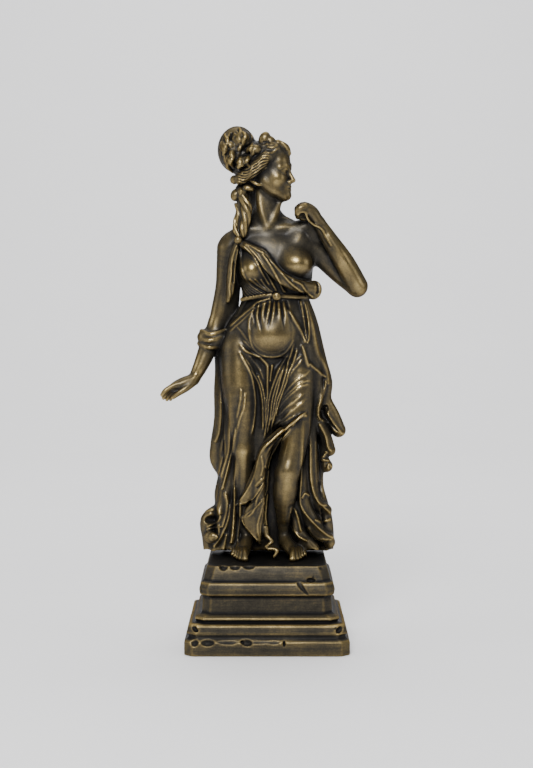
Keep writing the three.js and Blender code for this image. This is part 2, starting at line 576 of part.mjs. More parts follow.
function sculptFigure() {
  const [low, high] = [[-116, -46, 76], [108, 66, 524]];
  const clay = new Clay(low, high);
  body(clay);
  dress(clay);
  mantle(clay);
  const [front, back, strands] = [0, 1, 2].map(() => new Relief(low, high));
  frontFolds(front);
  clay.press(front, 1);
  clay.visit(low, high, (v, x, y, z) => Math.max(v, Math.min(hem.height - z, hem.back - y)));
  foot(clay, -20.5, -22, -1);
  foot(clay, 17, 25.5, 1);
  arms(clay);
  head(clay);
  hair(clay);
  hairStrands(strands);
  clay.press(strands, 1);
  backFolds(back);
  clay.press(back, -1);
  clay.visit(low, high, (v, x, y, z) => Math.max(v, (plinthTop + seatGap - truePlace(x, y, z)[2]) / step));
  return clay;
}

// The field's zero surface as triangles. Each grid cell is cut into six tetrahedra round one diagonal.
function triangulate(clay) {
  const [nx, ny, nz] = clay.size;
  const offsets = [0, nx * ny].flatMap((up) => [0, 1, nx, nx + 1].map((across) => up + across));
  const routes = [[1, 3], [3, 2], [2, 6], [6, 4], [4, 5], [5, 1]];
  const tetrahedra = routes.map(([a, b]) => [0, a, b, 7]);
  const evenOrders = [
    [0, 1, 2, 3], [0, 2, 3, 1], [0, 3, 1, 2], [1, 0, 3, 2], [1, 2, 0, 3], [1, 3, 2, 0],
    [2, 0, 1, 3], [2, 1, 3, 0], [2, 3, 0, 1], [3, 0, 2, 1], [3, 1, 0, 2], [3, 2, 1, 0],
  ];
  const [points, faces, known] = [[], [], new Map()];

  const crossing = (base, a, b) => {
    const [low, high] = a < b ? [a, b] : [b, a];
    const key = (base + offsets[low]) * 8 + (high - low);
    if (!known.has(key)) {
      const [va, vb] = [clay.field[base + offsets[low]], clay.field[base + offsets[high]]];
      const t = clamp(va / (va - vb), 0.02, 0.98);
      const start = [base % nx, Math.floor(base / nx) % ny, Math.floor(base / (nx * ny))];
      known.set(key, points.length);
      points.push(
        start.map((n, k) => clay.low[k] + (n + mix((low >> k) & 1, (high >> k) & 1, t)) * cell),
      );
    }
    return known.get(key);
  };

  for (let k = 0; k < nz - 1; k++)
    for (let j = 0; j < ny - 1; j++)
      for (let i = 0; i < nx - 1; i++) {
        const base = clay.index(i, j, k);
        const inside = offsets.map((offset) => clay.field[base + offset] < 0);
        if (inside.every((v) => v === inside[0])) continue;
        for (const corners of tetrahedra) {
          const count = corners.filter((c) => inside[c]).length;
          if (count === 0 || count === 4) continue;
          const first = count === 3 ? (c) => !inside[c] : (c) => inside[c];
          const leading = count === 2 ? 2 : 1;
          const order = evenOrders.find((o) => o.slice(0, leading).every((n) => first(corners[n])));
          const [a, b, c, d] = order.map((n) => corners[n]);
          const edge = (p, q) => crossing(base, p, q);
          if (count === 1) faces.push([edge(a, b), edge(a, c), edge(a, d)]);
          else if (count === 3) faces.push([edge(a, b), edge(a, d), edge(a, c)]);
          else {
            faces.push([edge(a, c), edge(a, d), edge(b, d)]);
            faces.push([edge(a, c), edge(b, d), edge(b, c)]);
          }
        }
      }
  return { points, faces };
}

// Keeps only the largest connected piece.
function largestPiece({ points, faces }) {
  const leader = points.map((_, i) => i);
  const find = (i) => {
    while (leader[i] !== i) i = leader[i] = leader[leader[i]];
    return i;
  };
  for (const [a, b, c] of faces) {
    leader[find(b)] = find(a);
    leader[find(c)] = find(a);
  }
  const sizes = new Map();
  for (const [a] of faces) sizes.set(find(a), (sizes.get(find(a)) ?? 0) + 1);
  const main = [...sizes].sort((p, q) => q[1] - p[1])[0][0];
  return { points, faces: faces.filter(([a]) => find(a) === main) };
}

// A heap of [cost, ...] entries, cheapest first.
class Queue {
  items = [];

  push(item) {
    const { items } = this;
    let at = items.push(item) - 1;
    while (at > 0 && items[(at - 1) >> 1][0] > item[0]) {
      items[at] = items[(at - 1) >> 1];
      at = (at - 1) >> 1;
    }
    items[at] = item;
  }

  pop() {
    const { items } = this;
    const [top, item] = [items[0], items.pop()];
    if (!items.length) return top;
    let at = 0;
    for (let child = 1; child < items.length; child = 2 * at + 1) {
      if (child + 1 < items.length && items[child + 1][0] < items[child][0]) child++;
      if (items[child][0] >= item[0]) break;
      items[at] = items[child];
      at = child;
    }
    items[at] = item;
    return top;
  }
}

const minus = (a, b) => [a[0] - b[0], a[1] - b[1], a[2] - b[2]];
const dot = (a, b) => a[0] * b[0] + a[1] * b[1] + a[2] * b[2];
const cross = (a, b) => [a[1] * b[2] - a[2] * b[1], a[2] * b[0] - a[0] * b[2], a[0] * b[1] - a[1] * b[0]];

// Thins a closed mesh by merging the edge that changes its surface least, until `target` faces are left.
function simplify({ points, faces }, target) {
  const around = points.map(() => new Set()); // faces at each point
  const quadrics = points.map(() => new Float64Array(10)); // squared distance to the planes round a point
  const changes = new Int32Array(points.length);
  faces = faces.map((f) => [...f]);
  points = points.map((p) => [...p]);
  faces.forEach((face, at) => {
    const [a, b, c] = face.map((v) => points[v]);
    const n = cross(minus(b, a), minus(c, a));
    const area = Math.sqrt(dot(n, n)) + 1e-12;
    const [x, y, z] = n.map((v) => v / area);
    const d = -dot([x, y, z], a);
    const plane = [x * x, x * y, x * z, x * d, y * y, y * z, y * d, z * z, z * d, d * d];
    for (const v of face) {
      around[v].add(at);
      plane.forEach((value, k) => (quadrics[v][k] += value * area));
    }
  });

  const error = (q, [x, y, z]) =>
    q[0] * x * x + q[4] * y * y + q[7] * z * z + q[9] +
    2 * (q[1] * x * y + q[2] * x * z + q[5] * y * z + q[3] * x + q[6] * y + q[8] * z);

  // The place where a and b are best merged, drawn slightly to the middle of the edge.
  const bestPlace = (q, a, b) => {
    const middle = a.map((v, k) => (v + b[k]) / 2);
    const hold = 1e-3 * (q[0] + q[4] + q[7]) + 1e-9;
    const rows = [[q[0] + hold, q[1], q[2]], [q[1], q[4] + hold, q[5]], [q[2], q[5], q[7] + hold]];
    const right = [hold * middle[0] - q[3], hold * middle[1] - q[6], hold * middle[2] - q[8]];
    const whole = dot(rows[0], cross(rows[1], rows[2]));
    const place = [0, 1, 2].map((k) => {
      const swapped = rows.map((row, r) => row.map((v, column) => (column === k ? right[r] : v)));
      return dot(swapped[0], cross(swapped[1], swapped[2])) / whole;
    });
    const [moved, edge] = [minus(place, middle), minus(a, b)];
    return dot(moved, moved) < 4 * dot(edge, edge) ? place : middle;
  };

  const queue = new Queue();
  const offer = (a, b) => {
    const q = quadrics[a].map((v, k) => v + quadrics[b][k]);
    const place = bestPlace(q, points[a], points[b]);
    queue.push([error(q, place), a, b, changes[a], changes[b], place]);
  };
  const neighbours = (v) => new Set([...around[v]].flatMap((f) => faces[f]).filter((w) => w !== v));
  const turnsOver = (v, other, place) =>
    [...around[v]].some((f) => {
      if (faces[f].includes(other)) return false;
      const [old, now] = [faces[f].map((w) => points[w]), faces[f].map((w) => (w === v ? place : points[w]))];
      const [n, m] = [old, now].map(([a, b, c]) => cross(minus(b, a), minus(c, a)));
      return dot(n, m) < 0.25 * Math.sqrt(dot(n, n) * dot(m, m)) || dot(m, m) < 1e-4;
    });

  for (const [a, b, c] of faces) {
    for (const [p, q] of [[a, b], [b, c], [c, a]]) if (p < q) offer(p, q);
  }
  let left = faces.length;
  while (left > target && queue.items.length) {
    const [, a, b, changedA, changedB, place] = queue.pop();
    if (changedA !== changes[a] || changedB !== changes[b]) continue;
    const near = neighbours(b);
    const shared = [...neighbours(a)].filter((v) => near.has(v));
    if (shared.length !== 2 || turnsOver(a, b, place) || turnsOver(b, a, place)) continue;
    for (const f of [...around[b]]) {
      if (faces[f].includes(a)) {
        for (const v of faces[f]) around[v].delete(f);
        faces[f] = null;
        left--;
      } else {
        faces[f] = faces[f].map((v) => (v === b ? a : v));
        around[a].add(f);
      }
    }
    points[a] = place;
    quadrics[b].forEach((v, k) => (quadrics[a][k] += v));
    changes[a]++;
    changes[b] = -1;
    for (const v of neighbours(a)) offer(a, v);
  }
  return { points, faces: faces.filter(Boolean) };
}

// Only the points that the faces use.
function withoutSpares({ points, faces }) {
  const [kept, number] = [[], new Map()];
  for (const v of faces.flat()) {
    if (!number.has(v)) number.set(v, kept.push(points[v]) - 1);
  }
  return { points: kept, faces: faces.map((face) => face.map((v) => number.get(v))) };
}

function geometryOf({ points, faces }) {
  const geometry = new THREE.BufferGeometry();
  geometry.setAttribute("position", new THREE.Float32BufferAttribute(points.flat(), 3));
  geometry.setIndex(faces.flat());
  return geometry;
}

// The plinth, from the floor up. Rows are [height, half width, half depth, corner cut], in steps.
const plinthRows = [
  [0, 80.1, 80, 9],
  [13.6, 80.1, 80, 9],
  [14.8, 78.5, 78.5, 9],
  [16.8, 76.1, 76, 8],
  [19.7, 75.9, 75.8, 8],
  [21.1, 77.5, 77, 8],
  [24.4, 76.1, 76, 8],
  [27.5, 74.3, 74.2, 8],
  [29.8, 72.5, 72.2, 8],
  [30.7, 68.5, 68, 8],
  [32.1, 68.5, 68, 8],
  [33.2, 70.1, 69.4, 8],
  [35.4, 70.1, 69.4, 8],
  [36.2, 67.5, 67, 8],
  [37.6, 66.8, 66.4, 8],
  [38.6, 63.4, 63.4, 8],
  [55.3, 62.4, 63, 7],
  [56.6, 65, 67, 8],
  [62.5, 66, 67.6, 8],
  [68.6, 64.2, 66, 7],
  [69.8, 62, 62, 6],
  [77.3, 60, 60.4, 5],
  [84.4, 58.2, 58.2, 4],
];

function plinthBlock() {
  const points = [[0, 0, 0]];
  for (const [height, wide, deep, cut] of plinthRows) {
    const quarter = [[wide - cut, deep], [wide, deep - cut]];
    const corners = [
      ...quarter.map(([x, y]) => [x, -y]),
      ...quarter.toReversed(),
      ...quarter.map(([x, y]) => [-x, y]),
      ...quarter.toReversed().map(([x, y]) => [-x, -y]),
    ];
    for (const [x, y] of corners) points.push([x, y, height].map((v) => v * step));
  }
  const top = points.push([0, 0, plinthTop]) - 1;
  const faces = [];
  for (let row = 0; row <= plinthRows.length; row++) {
    for (let n = 0; n < 8; n++) {
      const [a, b] = [n, (n + 1) % 8].map((k) => 1 + row * 8 + k);
      if (row === 0) faces.push([0, b, a]);
      if (row === plinthRows.length) faces.push([a - 8, b - 8, top]);
      else if (row > 0) faces.push([a - 8, b - 8, b], [a - 8, b, a]);
    }
  }
  return geometryOf({ points, faces });
}

// Broken places: [x, y, z, half width, half depth, half height, turn], in steps.
const chips = [
  [-42, -60, 85, 4.8, 3.4, 4.4, 0], // scoops along the top edge
  [-31, -60.5, 85, 5, 3.2, 3.4, 0],
  [-18, -60.5, 85, 6, 3.4, 3.6, 0],
  [56, -59, 83, 3.4, 4, 3.4, 0],
  [-59, -60, 79, 7, 6, 11, 14], // corner of the top block
  [42.5, -62, 71, 4.4, 3, 2.6, 0], // hole at the foot of the crack
  [36, -68, 62.5, 2, 3, 8, -30], // split across the cap
  [-44, -67, 69, 3, 2, 1.5, 0],
  [-60, -62, 47, 3, 4, 8, 0], // corners of the straight part
  [59, -62, 46, 3.4, 4, 8, 0],
  [-70, -72, 26, 6, 4, 3, 35], // ends of the moulding
  [70, -72, 26, 6, 4, 4, -35],
  [-69, -81, 15, 4.4, 3.4, 4.4, 0], // scoops along the slab's edge
  [-56, -81, 15.4, 6.4, 3.4, 4.4, 0],
  [-19, -81, 15.2, 5.6, 3.4, 4.2, 0],
  [-16, -81.5, 16.5, 32, 3.4, 4.4, 0], // long worn stretch
  [16, -80.6, 14.4, 2.4, 2.4, 4, 0],
];

const wasm = await Module();
wasm.setup();

// A closed geometry as a solid that can be cut.
function solid(geometry) {
  for (const name of ["normal", "uv"]) geometry.deleteAttribute(name);
  const merged = mergeVertices(geometry, 1e-4);
  return new wasm.Manifold(
    new wasm.Mesh({
      numProp: 3,
      vertProperties: Float32Array.from(merged.attributes.position.array),
      triVerts: Uint32Array.from(merged.index.array),
    }),
  );
}

function plinthGeometry() {
  let block = solid(plinthBlock());
  for (const [x, y, z, wide, deep, high, turn] of chips) {
    const chip = new THREE.SphereGeometry(1, 7, 5).scale(wide, deep, high);
    chip.rotateY(radians(turn)).translate(x, y, z).scale(step, step, step);
    block = block.subtract(solid(chip));
  }
  const mesh = block.getMesh();
  const geometry = new THREE.BufferGeometry();
  geometry.setAttribute("position", new THREE.BufferAttribute(mesh.vertProperties, mesh.numProp));
  geometry.setIndex([...mesh.triVerts]);
  return geometry;
}

function figureGeometry() {
  const surface = largestPiece(triangulate(sculptFigure()));
  const { points, faces } = withoutSpares(simplify(surface, figureTriangles));
  return geometryOf({ points: points.map((p) => truePlace(...p)), faces });
}

function part(name, geometry) {
  const bronze = new THREE.MeshStandardMaterial({ color: 0x6b5734, roughness: 0.42, metalness: 0.85 });
  bronze.flatShading = true;
  const mesh = new THREE.Mesh(geometry, bronze);
  mesh.name = name;
  return mesh;
}

const statue = new THREE.Group();
statue.add(part("plinth", plinthGeometry()), part("figure", figureGeometry()));

export default statue;
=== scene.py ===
"""A draped goddess on a stepped plinth: the fine carving, the bronze finish, the light and the camera.

The figure is modelled like clay. Rounded forms are joined into one field of distances, folds are drawn
on it as ridges and grooves, and its surface becomes the mesh. Forms are drawn in steps (STEP metres) as
they look from the camera: x to the right, z up, and y the true depth behind the plinth's middle.
"""

import math

import bmesh
import bpy
import numpy as np
import openvdb
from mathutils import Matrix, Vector


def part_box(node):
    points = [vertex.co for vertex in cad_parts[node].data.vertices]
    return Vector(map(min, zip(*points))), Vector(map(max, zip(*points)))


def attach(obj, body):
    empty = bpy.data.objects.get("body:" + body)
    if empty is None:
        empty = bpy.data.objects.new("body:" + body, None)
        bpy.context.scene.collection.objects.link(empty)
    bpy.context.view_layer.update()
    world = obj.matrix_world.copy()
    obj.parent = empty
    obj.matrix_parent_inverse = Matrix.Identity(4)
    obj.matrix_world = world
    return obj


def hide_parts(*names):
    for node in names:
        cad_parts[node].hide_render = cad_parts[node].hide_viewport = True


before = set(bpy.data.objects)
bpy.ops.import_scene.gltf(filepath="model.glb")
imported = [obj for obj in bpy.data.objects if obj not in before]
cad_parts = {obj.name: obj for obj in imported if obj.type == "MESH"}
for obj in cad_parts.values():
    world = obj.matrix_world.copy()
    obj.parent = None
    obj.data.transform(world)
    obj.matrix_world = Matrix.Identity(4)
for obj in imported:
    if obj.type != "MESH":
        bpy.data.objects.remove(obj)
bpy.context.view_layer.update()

PLINTH_STEPS = 84.4  # the plinth's height, in steps
PLINTH_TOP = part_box("plinth")[1].z
STEP = PLINTH_TOP / PLINTH_STEPS
SEAT_GAP = 0.0003 / STEP  # the figure stands this far above the plinth
EYE_DISTANCE, EYE_HEIGHT = 1700, 342.5  # the camera's place from the plinth's middle and foot, in steps
AIM_HEIGHT, AIM_DRAWN = 258.5, 256  # the camera looks at this height, drawn at AIM_DRAWN
LOOK_DOWN = math.atan2(EYE_HEIGHT - AIM_HEIGHT, EYE_DISTANCE)
CELL = 0.75  # grid size, in steps
FIGURE_TRIANGLES, PLINTH_TRIANGLES = 190_000, 90_000
FAR = 50.0  # the field's value in untouched space
FIGURE_SPACE = (-118, -48, 76), (110, 68, 526)  # two corners of the figure's grid, in steps
PLINTH_SPACE = (-84, -84, -3), (84, 84, 88)
HEM_HEIGHT, HEM_BACK = 90, 41  # the cloth ends about this drawn height, in front of this depth
WEAR_REACH = {"edge": 1.4, "relief": 4.5, "broad": 11}  # how far round a point the finish looks, in steps
WEAR_DEPTH = 6  # the finish counts no place as further than this from the surface, in steps
BAND = 3.0  # cells kept on each side of the surface when it becomes a mesh
POLISH_AND_HIGHLIGHT_SPOTS = (  # places polished by handling and painted lighter gold as painted highlight where the front light falls, seen from in front: x, z, half width, half height, in steps
    (-26, 272, 8, 26),
    (-22, 235, 5, 20),
    (5, 303, 22, 8),
    (31, 258, 8, 14),
    (28, 232, 9, 9),
    (20, 160, 6, 10),
    (20, 200, 7, 20),
    (-15, 374, 9, 7),
    (31, 376, 13, 7),
    (76, 380, 6, 16),
    (92, 355, 6, 8),
    (-55, 320, 4, 14),
    (-70, 272, 4, 12),
    (-24, 185, 5, 14),
    (8, 458, 6, 8),
)


# Small helpers


def true_place(x, y, z):
    """Drawn places in steps as true places in steps."""
    up = z - AIM_DRAWN
    near = (EYE_DISTANCE + y) / (EYE_DISTANCE + up * math.sin(LOOK_DOWN))
    fall = up * math.cos(LOOK_DOWN) - (EYE_HEIGHT - AIM_HEIGHT)
    return x * near, y, EYE_HEIGHT + fall * near


def smooth_min(a, b, blend):
    h = np.maximum(blend - np.abs(a - b), 0) / blend
    return np.minimum(a, b) - h * h * (blend / 4)


def smooth_step(t):
    t = np.clip(t, 0, 1)
    return t * t * (3 - 2 * t)


def curve_through(points, pieces):
    """Points along a smooth curve through the given ones."""
    p = np.array(points, float)
    p = np.vstack([p[:1], p, p[-1:]])
    made = []
    for a, b, c, d in zip(p, p[1:], p[2:], p[3:]):
        for t in np.arange(pieces) / pieces:
            bend, twist = 2 * a - 5 * b + 4 * c - d, 3 * (b - c) + d - a
            made.append(b + 0.5 * t * (c - a + t * (bend + t * twist)))
    return np.array([*made, p[-1]])


def mix(a, b, t):
    return np.multiply(a, 1.0 - t) + np.multiply(b, t)


class Space:
    """A stretch of the grid: x, y and z are the places of its cells along each axis."""

    def __init__(self, x, y, z):
        self.axes = (x, y, z)

    def part(self, low, high):
        """The slices that hold a box, and that stretch."""
        cuts = tuple(
            slice(*np.searchsorted(axis, (l, h)))
            for axis, l, h in zip(self.axes, low, high)
        )
        return cuts, Space(*(axis[cut] for axis, cut in zip(self.axes, cuts)))

    @property
    def empty(self):
        return any(len(axis) == 0 for axis in self.axes)

    @property
    def grids(self):
        x, y, z = self.axes
        return x[:, None, None], y[None, :, None], z[None, None, :]


# Rounded forms: each has a box around it and gives its signed distance in a space


class Limb:
    """A tapered, bending round bar; deep flattens or stretches it from front to back."""

    def __init__(self, points, radii, deep=1.0, pieces=4):
        radii = [radii[min(i, len(radii) - 1)] for i in range(len(points))]
        self.path = curve_through([[*p, r] for p, r in zip(points, radii)], pieces)
        self.deep = deep
        reach = self.path[:, 3:] * (1, max(1, deep), 1)
        self.low = (self.path[:, :3] - reach).min(0)
        self.high = (self.path[:, :3] + reach).max(0)

    def distance(self, space, pad):
        out = np.full([len(axis) for axis in space.axes], FAR, np.float32)
        squash = np.array([1, 1 / self.deep, 1])
        for start, end in zip(self.path, self.path[1:]):
            widest = max(start[3], end[3]) * np.array([1, max(1, self.deep), 1]) + pad
            low = np.minimum(start[:3], end[:3]) - widest
            high = np.maximum(start[:3], end[:3]) + widest
            cuts, near = space.part(low, high)
            if near.empty:
                continue
            along = (end[:3] - start[:3]) * squash
            x, y, z = ((g - s) * k for g, s, k in zip(near.grids, start, squash))
            t = (x * along[0] + y * along[1] + z * along[2]) / (along @ along + 1e-9)
            t = np.clip(t, 0, 1).astype(np.float32)
            away = (x - t * along[0]) ** 2 + (y - t * along[1]) ** 2 + (z - t * along[2]) ** 2
            value = np.sqrt(away) - (start[3] + (end[3] - start[3]) * t)
            out[cuts] = np.minimum(out[cuts], value)
        return out * min(1.0, self.deep)


class Blob:
    """An ellipsoid, turned by tilt degrees clockwise as seen from in front."""

    def __init__(self, centre, radii, tilt=0):
        self.centre, self.radii = np.array(centre, float), np.array(radii, float)
        self.tilt = math.radians(tilt)
        self.low, self.high = self.centre - max(radii), self.centre + max(radii)

    def distance(self, space, pad):
        x, y, z = (g - c for g, c in zip(space.grids, self.centre))
        c, s = math.cos(self.tilt), math.sin(self.tilt)
        x, z = c * x - s * z, s * x + c * z
        a, b, d = self.radii
        near = np.sqrt((x / a) ** 2 + (y / b) ** 2 + (z / d) ** 2)
        steep = np.sqrt((x / a**2) ** 2 + (y / b**2) ** 2 + (z / d**2) ** 2)
        return (near * (near - 1) / (steep + 1e-9)).astype(np.float32)


class Trunk:
    """A trunk with oval level sections; each row is [z, left, right, front, back], from the top down."""

    def __init__(self, rows):
        self.path = curve_through(rows[::-1], 8)
        _, left, right, front, back = self.path.T
        self.low = np.array([left.min(), front.min(), self.path[0, 0]])
        self.high = np.array([right.max(), back.max(), self.path[-1, 0]])

    def distance(self, space, pad):
        x, y, z = space.grids
        left, right, front, back = (
            np.interp(z, self.path[:, 0], self.path[:, k]) for k in range(1, 5)
        )
        a, b = (right - left) / 2, (back - front) / 2
        x, y = x - (left + right) / 2, y - (front + back) / 2
        near = np.sqrt((x / a) ** 2 + (y / b) ** 2)
        steep = np.sqrt((x / a**2) ** 2 + (y / b**2) ** 2)
        side = near * (near - 1) / (steep + 1e-9)
        ends = np.maximum(self.path[0, 0] - z, z - self.path[-1, 0])
        return np.maximum(side, ends).astype(np.float32)


class Clay:
    """The field that the forms are joined into: negative inside, in steps."""

    def __init__(self, low, high, cell):
        self.cell = cell
        self.space = Space(*(np.arange(l, h, cell) for l, h in zip(low, high)))
        self.field = np.full([len(a) for a in self.space.axes], FAR, np.float32)

    def _merge(self, shape, blend, sign):
        pad = blend + 3.5 * self.cell
        cuts, space = self.space.part(shape.low - pad, shape.high + pad)
        if not space.empty:
            value = shape.distance(space, pad)
            self.field[cuts] = sign * smooth_min(sign * self.field[cuts], value, blend)

    def add(self, shape, blend=3.0):
        self._merge(shape, blend, 1)

    def carve(self, shape, blend=2.0):
        self._merge(shape, blend, -1)

    def depths(self, side):
        """Depth of the first surface met from in front (side 1) or behind (side -1), for each column."""
        field = self.field if side > 0 else self.field[:, ::-1]
        y = self.space.axes[1][:: int(side)]
        inside = field < 0
        first = inside.argmax(1)
        found = inside.any(1)
        before = np.maximum(first - 1, 0)
        here = np.take_along_axis(field, first[:, None], 1)[:, 0]
        ahead = np.take_along_axis(field, before[:, None], 1)[:, 0]
        share = here / (here - ahead - 1e-6)
        depth = y[first] - side * np.clip(share, 0, 1) * self.cell
        return np.where(found, depth, np.nan)

    def press(self, relief, side=1, reach=9.0):
        """Raises or sinks the first surface on that side by a relief: whole columns slide along y."""
        heights = relief.heights
        columns = np.abs(heights) > 0.02
        xs, zs = np.flatnonzero(columns.any(1)), np.flatnonzero(columns.any(0))
        across, up = slice(xs[0], xs[-1] + 1), slice(zs[0], zs[-1] + 1)
        depth = self.depths(side)[across, up][:, None]
        behind = np.nan_to_num((self.space.axes[1][None, :, None] - depth) * side)
        slide = heights[across, up][:, None] * smooth_step(2 - behind / reach) * (side / self.cell)
        field = self.field[across, :, up]
        at = np.clip(np.arange(field.shape[1])[None, :, None] + slide, 0, field.shape[1] - 1.01)
        low = at.astype(np.int32)
        share = (at - low).astype(np.float32)
        here, ahead = np.take_along_axis(field, low, 1), np.take_along_axis(field, low + 1, 1)
        self.field[across, :, up] = here + (ahead - here) * share

    def relief(self):
        return Relief(self.space.axes[0], self.space.axes[2])


class Relief:
    """Heights over the drawing: raised sheets of cloth, with the ridges and grooves of folds on top."""

    def __init__(self, x, z):
        self.x, self.z = x, z
        self.sheets, self.ridges, self.grooves = np.zeros((3, len(x), len(z)), np.float32)

    @property
    def heights(self):
        return self.sheets + self.ridges + self.grooves

    def _near(self, path, reach):
        """The part of the grids within reach of a path: its slices, x and z."""
        low, high = path.min(0) - reach, path.max(0) + reach
        cuts = tuple(
            slice(*np.searchsorted(axis, (l, h)))
            for axis, l, h in zip((self.x, self.z), low, high)
        )
        return cuts, self.x[cuts[0]][:, None], self.z[cuts[1]][None, :]

    def line(self, points, width, height, fade=(0.2, 0.2), lean=0.0, sharp=1.6):
        """One fold through [x, z] points. A negative height is a groove, and fade thins the two ends.

        A positive lean makes the side to the right of its way steeper, a negative one the left side."""
        path = curve_through(points, 6)
        cuts, x, z = self._near(path, width * (1 + abs(lean)))
        best = np.full((x.shape[0], z.shape[1]), FAR)
        share, right = np.zeros_like(best), np.zeros_like(best)
        for i, (a, b) in enumerate(zip(path, path[1:])):
            e = b - a
            t = np.clip(((x - a[0]) * e[0] + (z - a[1]) * e[1]) / (e @ e + 1e-9), 0, 1)
            away = np.hypot(x - a[0] - t * e[0], z - a[1] - t * e[1])
            closer = away < best
            best = np.where(closer, away, best)
            share = np.where(closer, (i + t) / (len(path) - 1), share)
            right = np.where(closer, (x - a[0]) * e[1] - (z - a[1]) * e[0] > 0, right)
        widths = width * (1 + np.where(right, -lean, lean))
        ends = np.minimum((share + 0.02) / (fade[0] + 1e-6), (1.02 - share) / (fade[1] + 1e-6))
        h = height * np.maximum(1 - best / widths, 0) ** sharp * smooth_step(ends)
        if height > 0:
            self.ridges[cuts] = np.maximum(self.ridges[cuts], h)
        else:
            self.grooves[cuts] = np.minimum(self.grooves[cuts], h)

    def lines(self, width, height, paths, **style):
        for points in paths:
            self.line(points, width, height, **style)

    def folds(self, rows, **style):
        """Folds of one style; each row is width, height and points."""
        for width, height, points in rows:
            self.line(points, width, height, **style)

    def fan(self, first, last, count, width, height, **style):
        """Folds spread evenly from the first line to the last one."""
        for i in range(count):
            self.line(mix(first, last, i / (count - 1)), width, height, **style)

    def sheet(self, outline, height, soft=1.6):
        """A piece of cloth with a crisp edge, raised above what is behind it."""
        path = curve_through([*outline, outline[0]], 3)
        cuts, x, z = self._near(path, soft)
        edge = np.full((x.shape[0], z.shape[1]), FAR)
        inside = np.zeros(edge.shape, bool)
        for a, b in zip(path, path[1:]):
            e = b - a
            t = np.clip(((x - a[0]) * e[0] + (z - a[1]) * e[1]) / (e @ e + 1e-9), 0, 1)
            edge = np.minimum(edge, np.hypot(x - a[0] - t * e[0], z - a[1] - t * e[1]))
            crosses = (a[1] > z) != (b[1] > z)
            inside ^= crosses & (x < a[0] + e[0] * (z - a[1]) / (e[1] if e[1] else 1e-9))
        h = height * smooth_step(0.5 + np.where(inside, edge, -edge) / soft)
        self.sheets[cuts] = np.maximum(self.sheets[cuts], h)


def box_blur(values, radius):
    """A running mean over 2 * radius + 1 cells along each axis."""
    for axis in range(3):
        ends = [(0, 0)] * 3
        ends[axis] = (radius + 1, radius)
        total = np.cumsum(np.pad(values, ends, mode="edge"), axis=axis, dtype=np.float64)
        high = np.take(total, range(2 * radius + 1, total.shape[axis]), axis)
        low = np.take(total, range(total.shape[axis] - 2 * radius - 1), axis)
        values = ((high - low) / (2 * radius + 1)).astype(np.float32)
    return values


# The figure, without clothes


def body(clay):
    chest = [
        [420, -13, 14, -4, 14],
        [408, -30, 30, -12, 17],
        [395, -36, 43, -18, 21],
        [380, -32, 46, -21, 22],
        [360, -28, 45, -20, 20],
        [343, -25, 42, -19, 18],
        [325, -32, 46, -24, 21],
        [308, -42, 49, -25, 24],
        [285, -44, 50, -20, 26],
    ]
    clay.add(Trunk(chest), 0.1)
    clay.add(Limb([[-1, 3, 450], [0, 2, 412]], [11.5, 13.5]), 7)
    clay.add(Limb([[-2, 4, 424], [-32, 4, 398]], [9, 12]), 9)
    clay.add(Limb([[2, 4, 423], [32, 3, 403]], [8, 13.5]), 9)
    clay.add(Limb([[-4, -6, 410], [-16, -8.5, 411], [-30, -5, 409]], [1]), 9)  # collar bones
    clay.add(Limb([[5, -6, 410], [18, -8.5, 413], [33, -5, 413]], [0.8]), 9)
    clay.add(Limb([[-8, -5, 448], [-6, -8, 430], [0, -10, 413]], [3, 3, 1.6]), 5)  # neck muscle
    clay.add(Limb([[14, -2, 440], [8, -8, 424], [3, -9, 414]], [1.8, 2, 1.2]), 5)
    clay.add(Blob([-13, -10, 380], [12, 9, 12]), 7)
    clay.add(Blob([-15, -16.5, 369.5], [11.4, 11.6, 11.4]), 9)
    clay.add(Blob([27, -8, 387], [14, 10, 13]), 8)
    clay.add(Blob([30, -14.5, 376.5], [15.6, 14, 13.6]), 9)
    clay.add(Blob([5, -12, 313], [28, 21, 29]), 8)
    clay.add(Blob([5, -15, 304], [23, 20, 20]), 8)
    thigh = [[-27, -3, 290], [-28, -9, 255], [-25, -11, 220], [-23.5, -11, 190]]
    clay.add(Limb(thigh, [20, 17.5, 13.4, 10.5]), 7)
    shin = [[-23.5, -11, 190], [-23, -6, 160], [-22, -5, 125], [-20.5, -3, 102]]
    clay.add(Limb(shin, [10.5, 8.5, 6.3, 4.9]), 4)
    thigh = [[32, -4, 290], [31, -14, 240], [28, -19, 200], [20.5, -23, 168]]
    clay.add(Limb(thigh, [20, 16, 13.5, 12]), 7)
    shin = [[19.5, -23, 166], [17.8, -17, 147], [16.6, -9, 126], [17, -3, 106]]
    clay.add(Limb(shin, [11.6, 12.2, 8, 4.6]), 4)
    clay.add(Blob([21, -29, 169], [6.5, 6, 8]), 6)  # kneecap
    clay.add(Limb([[20, -30, 157], [18, -26, 140], [17, -15, 120]], [1.6, 1.4, 1.2]), 7)  # shin bone


def drawn_height(y, height):
    """The drawn height of a true height at depth y."""
    fall = height - EYE_HEIGHT
    up = (EYE_HEIGHT - AIM_HEIGHT) * (EYE_DISTANCE + y) + fall * EYE_DISTANCE
    return AIM_DRAWN + up / (math.cos(LOOK_DOWN) * (EYE_DISTANCE + y) - fall * math.sin(LOOK_DOWN))


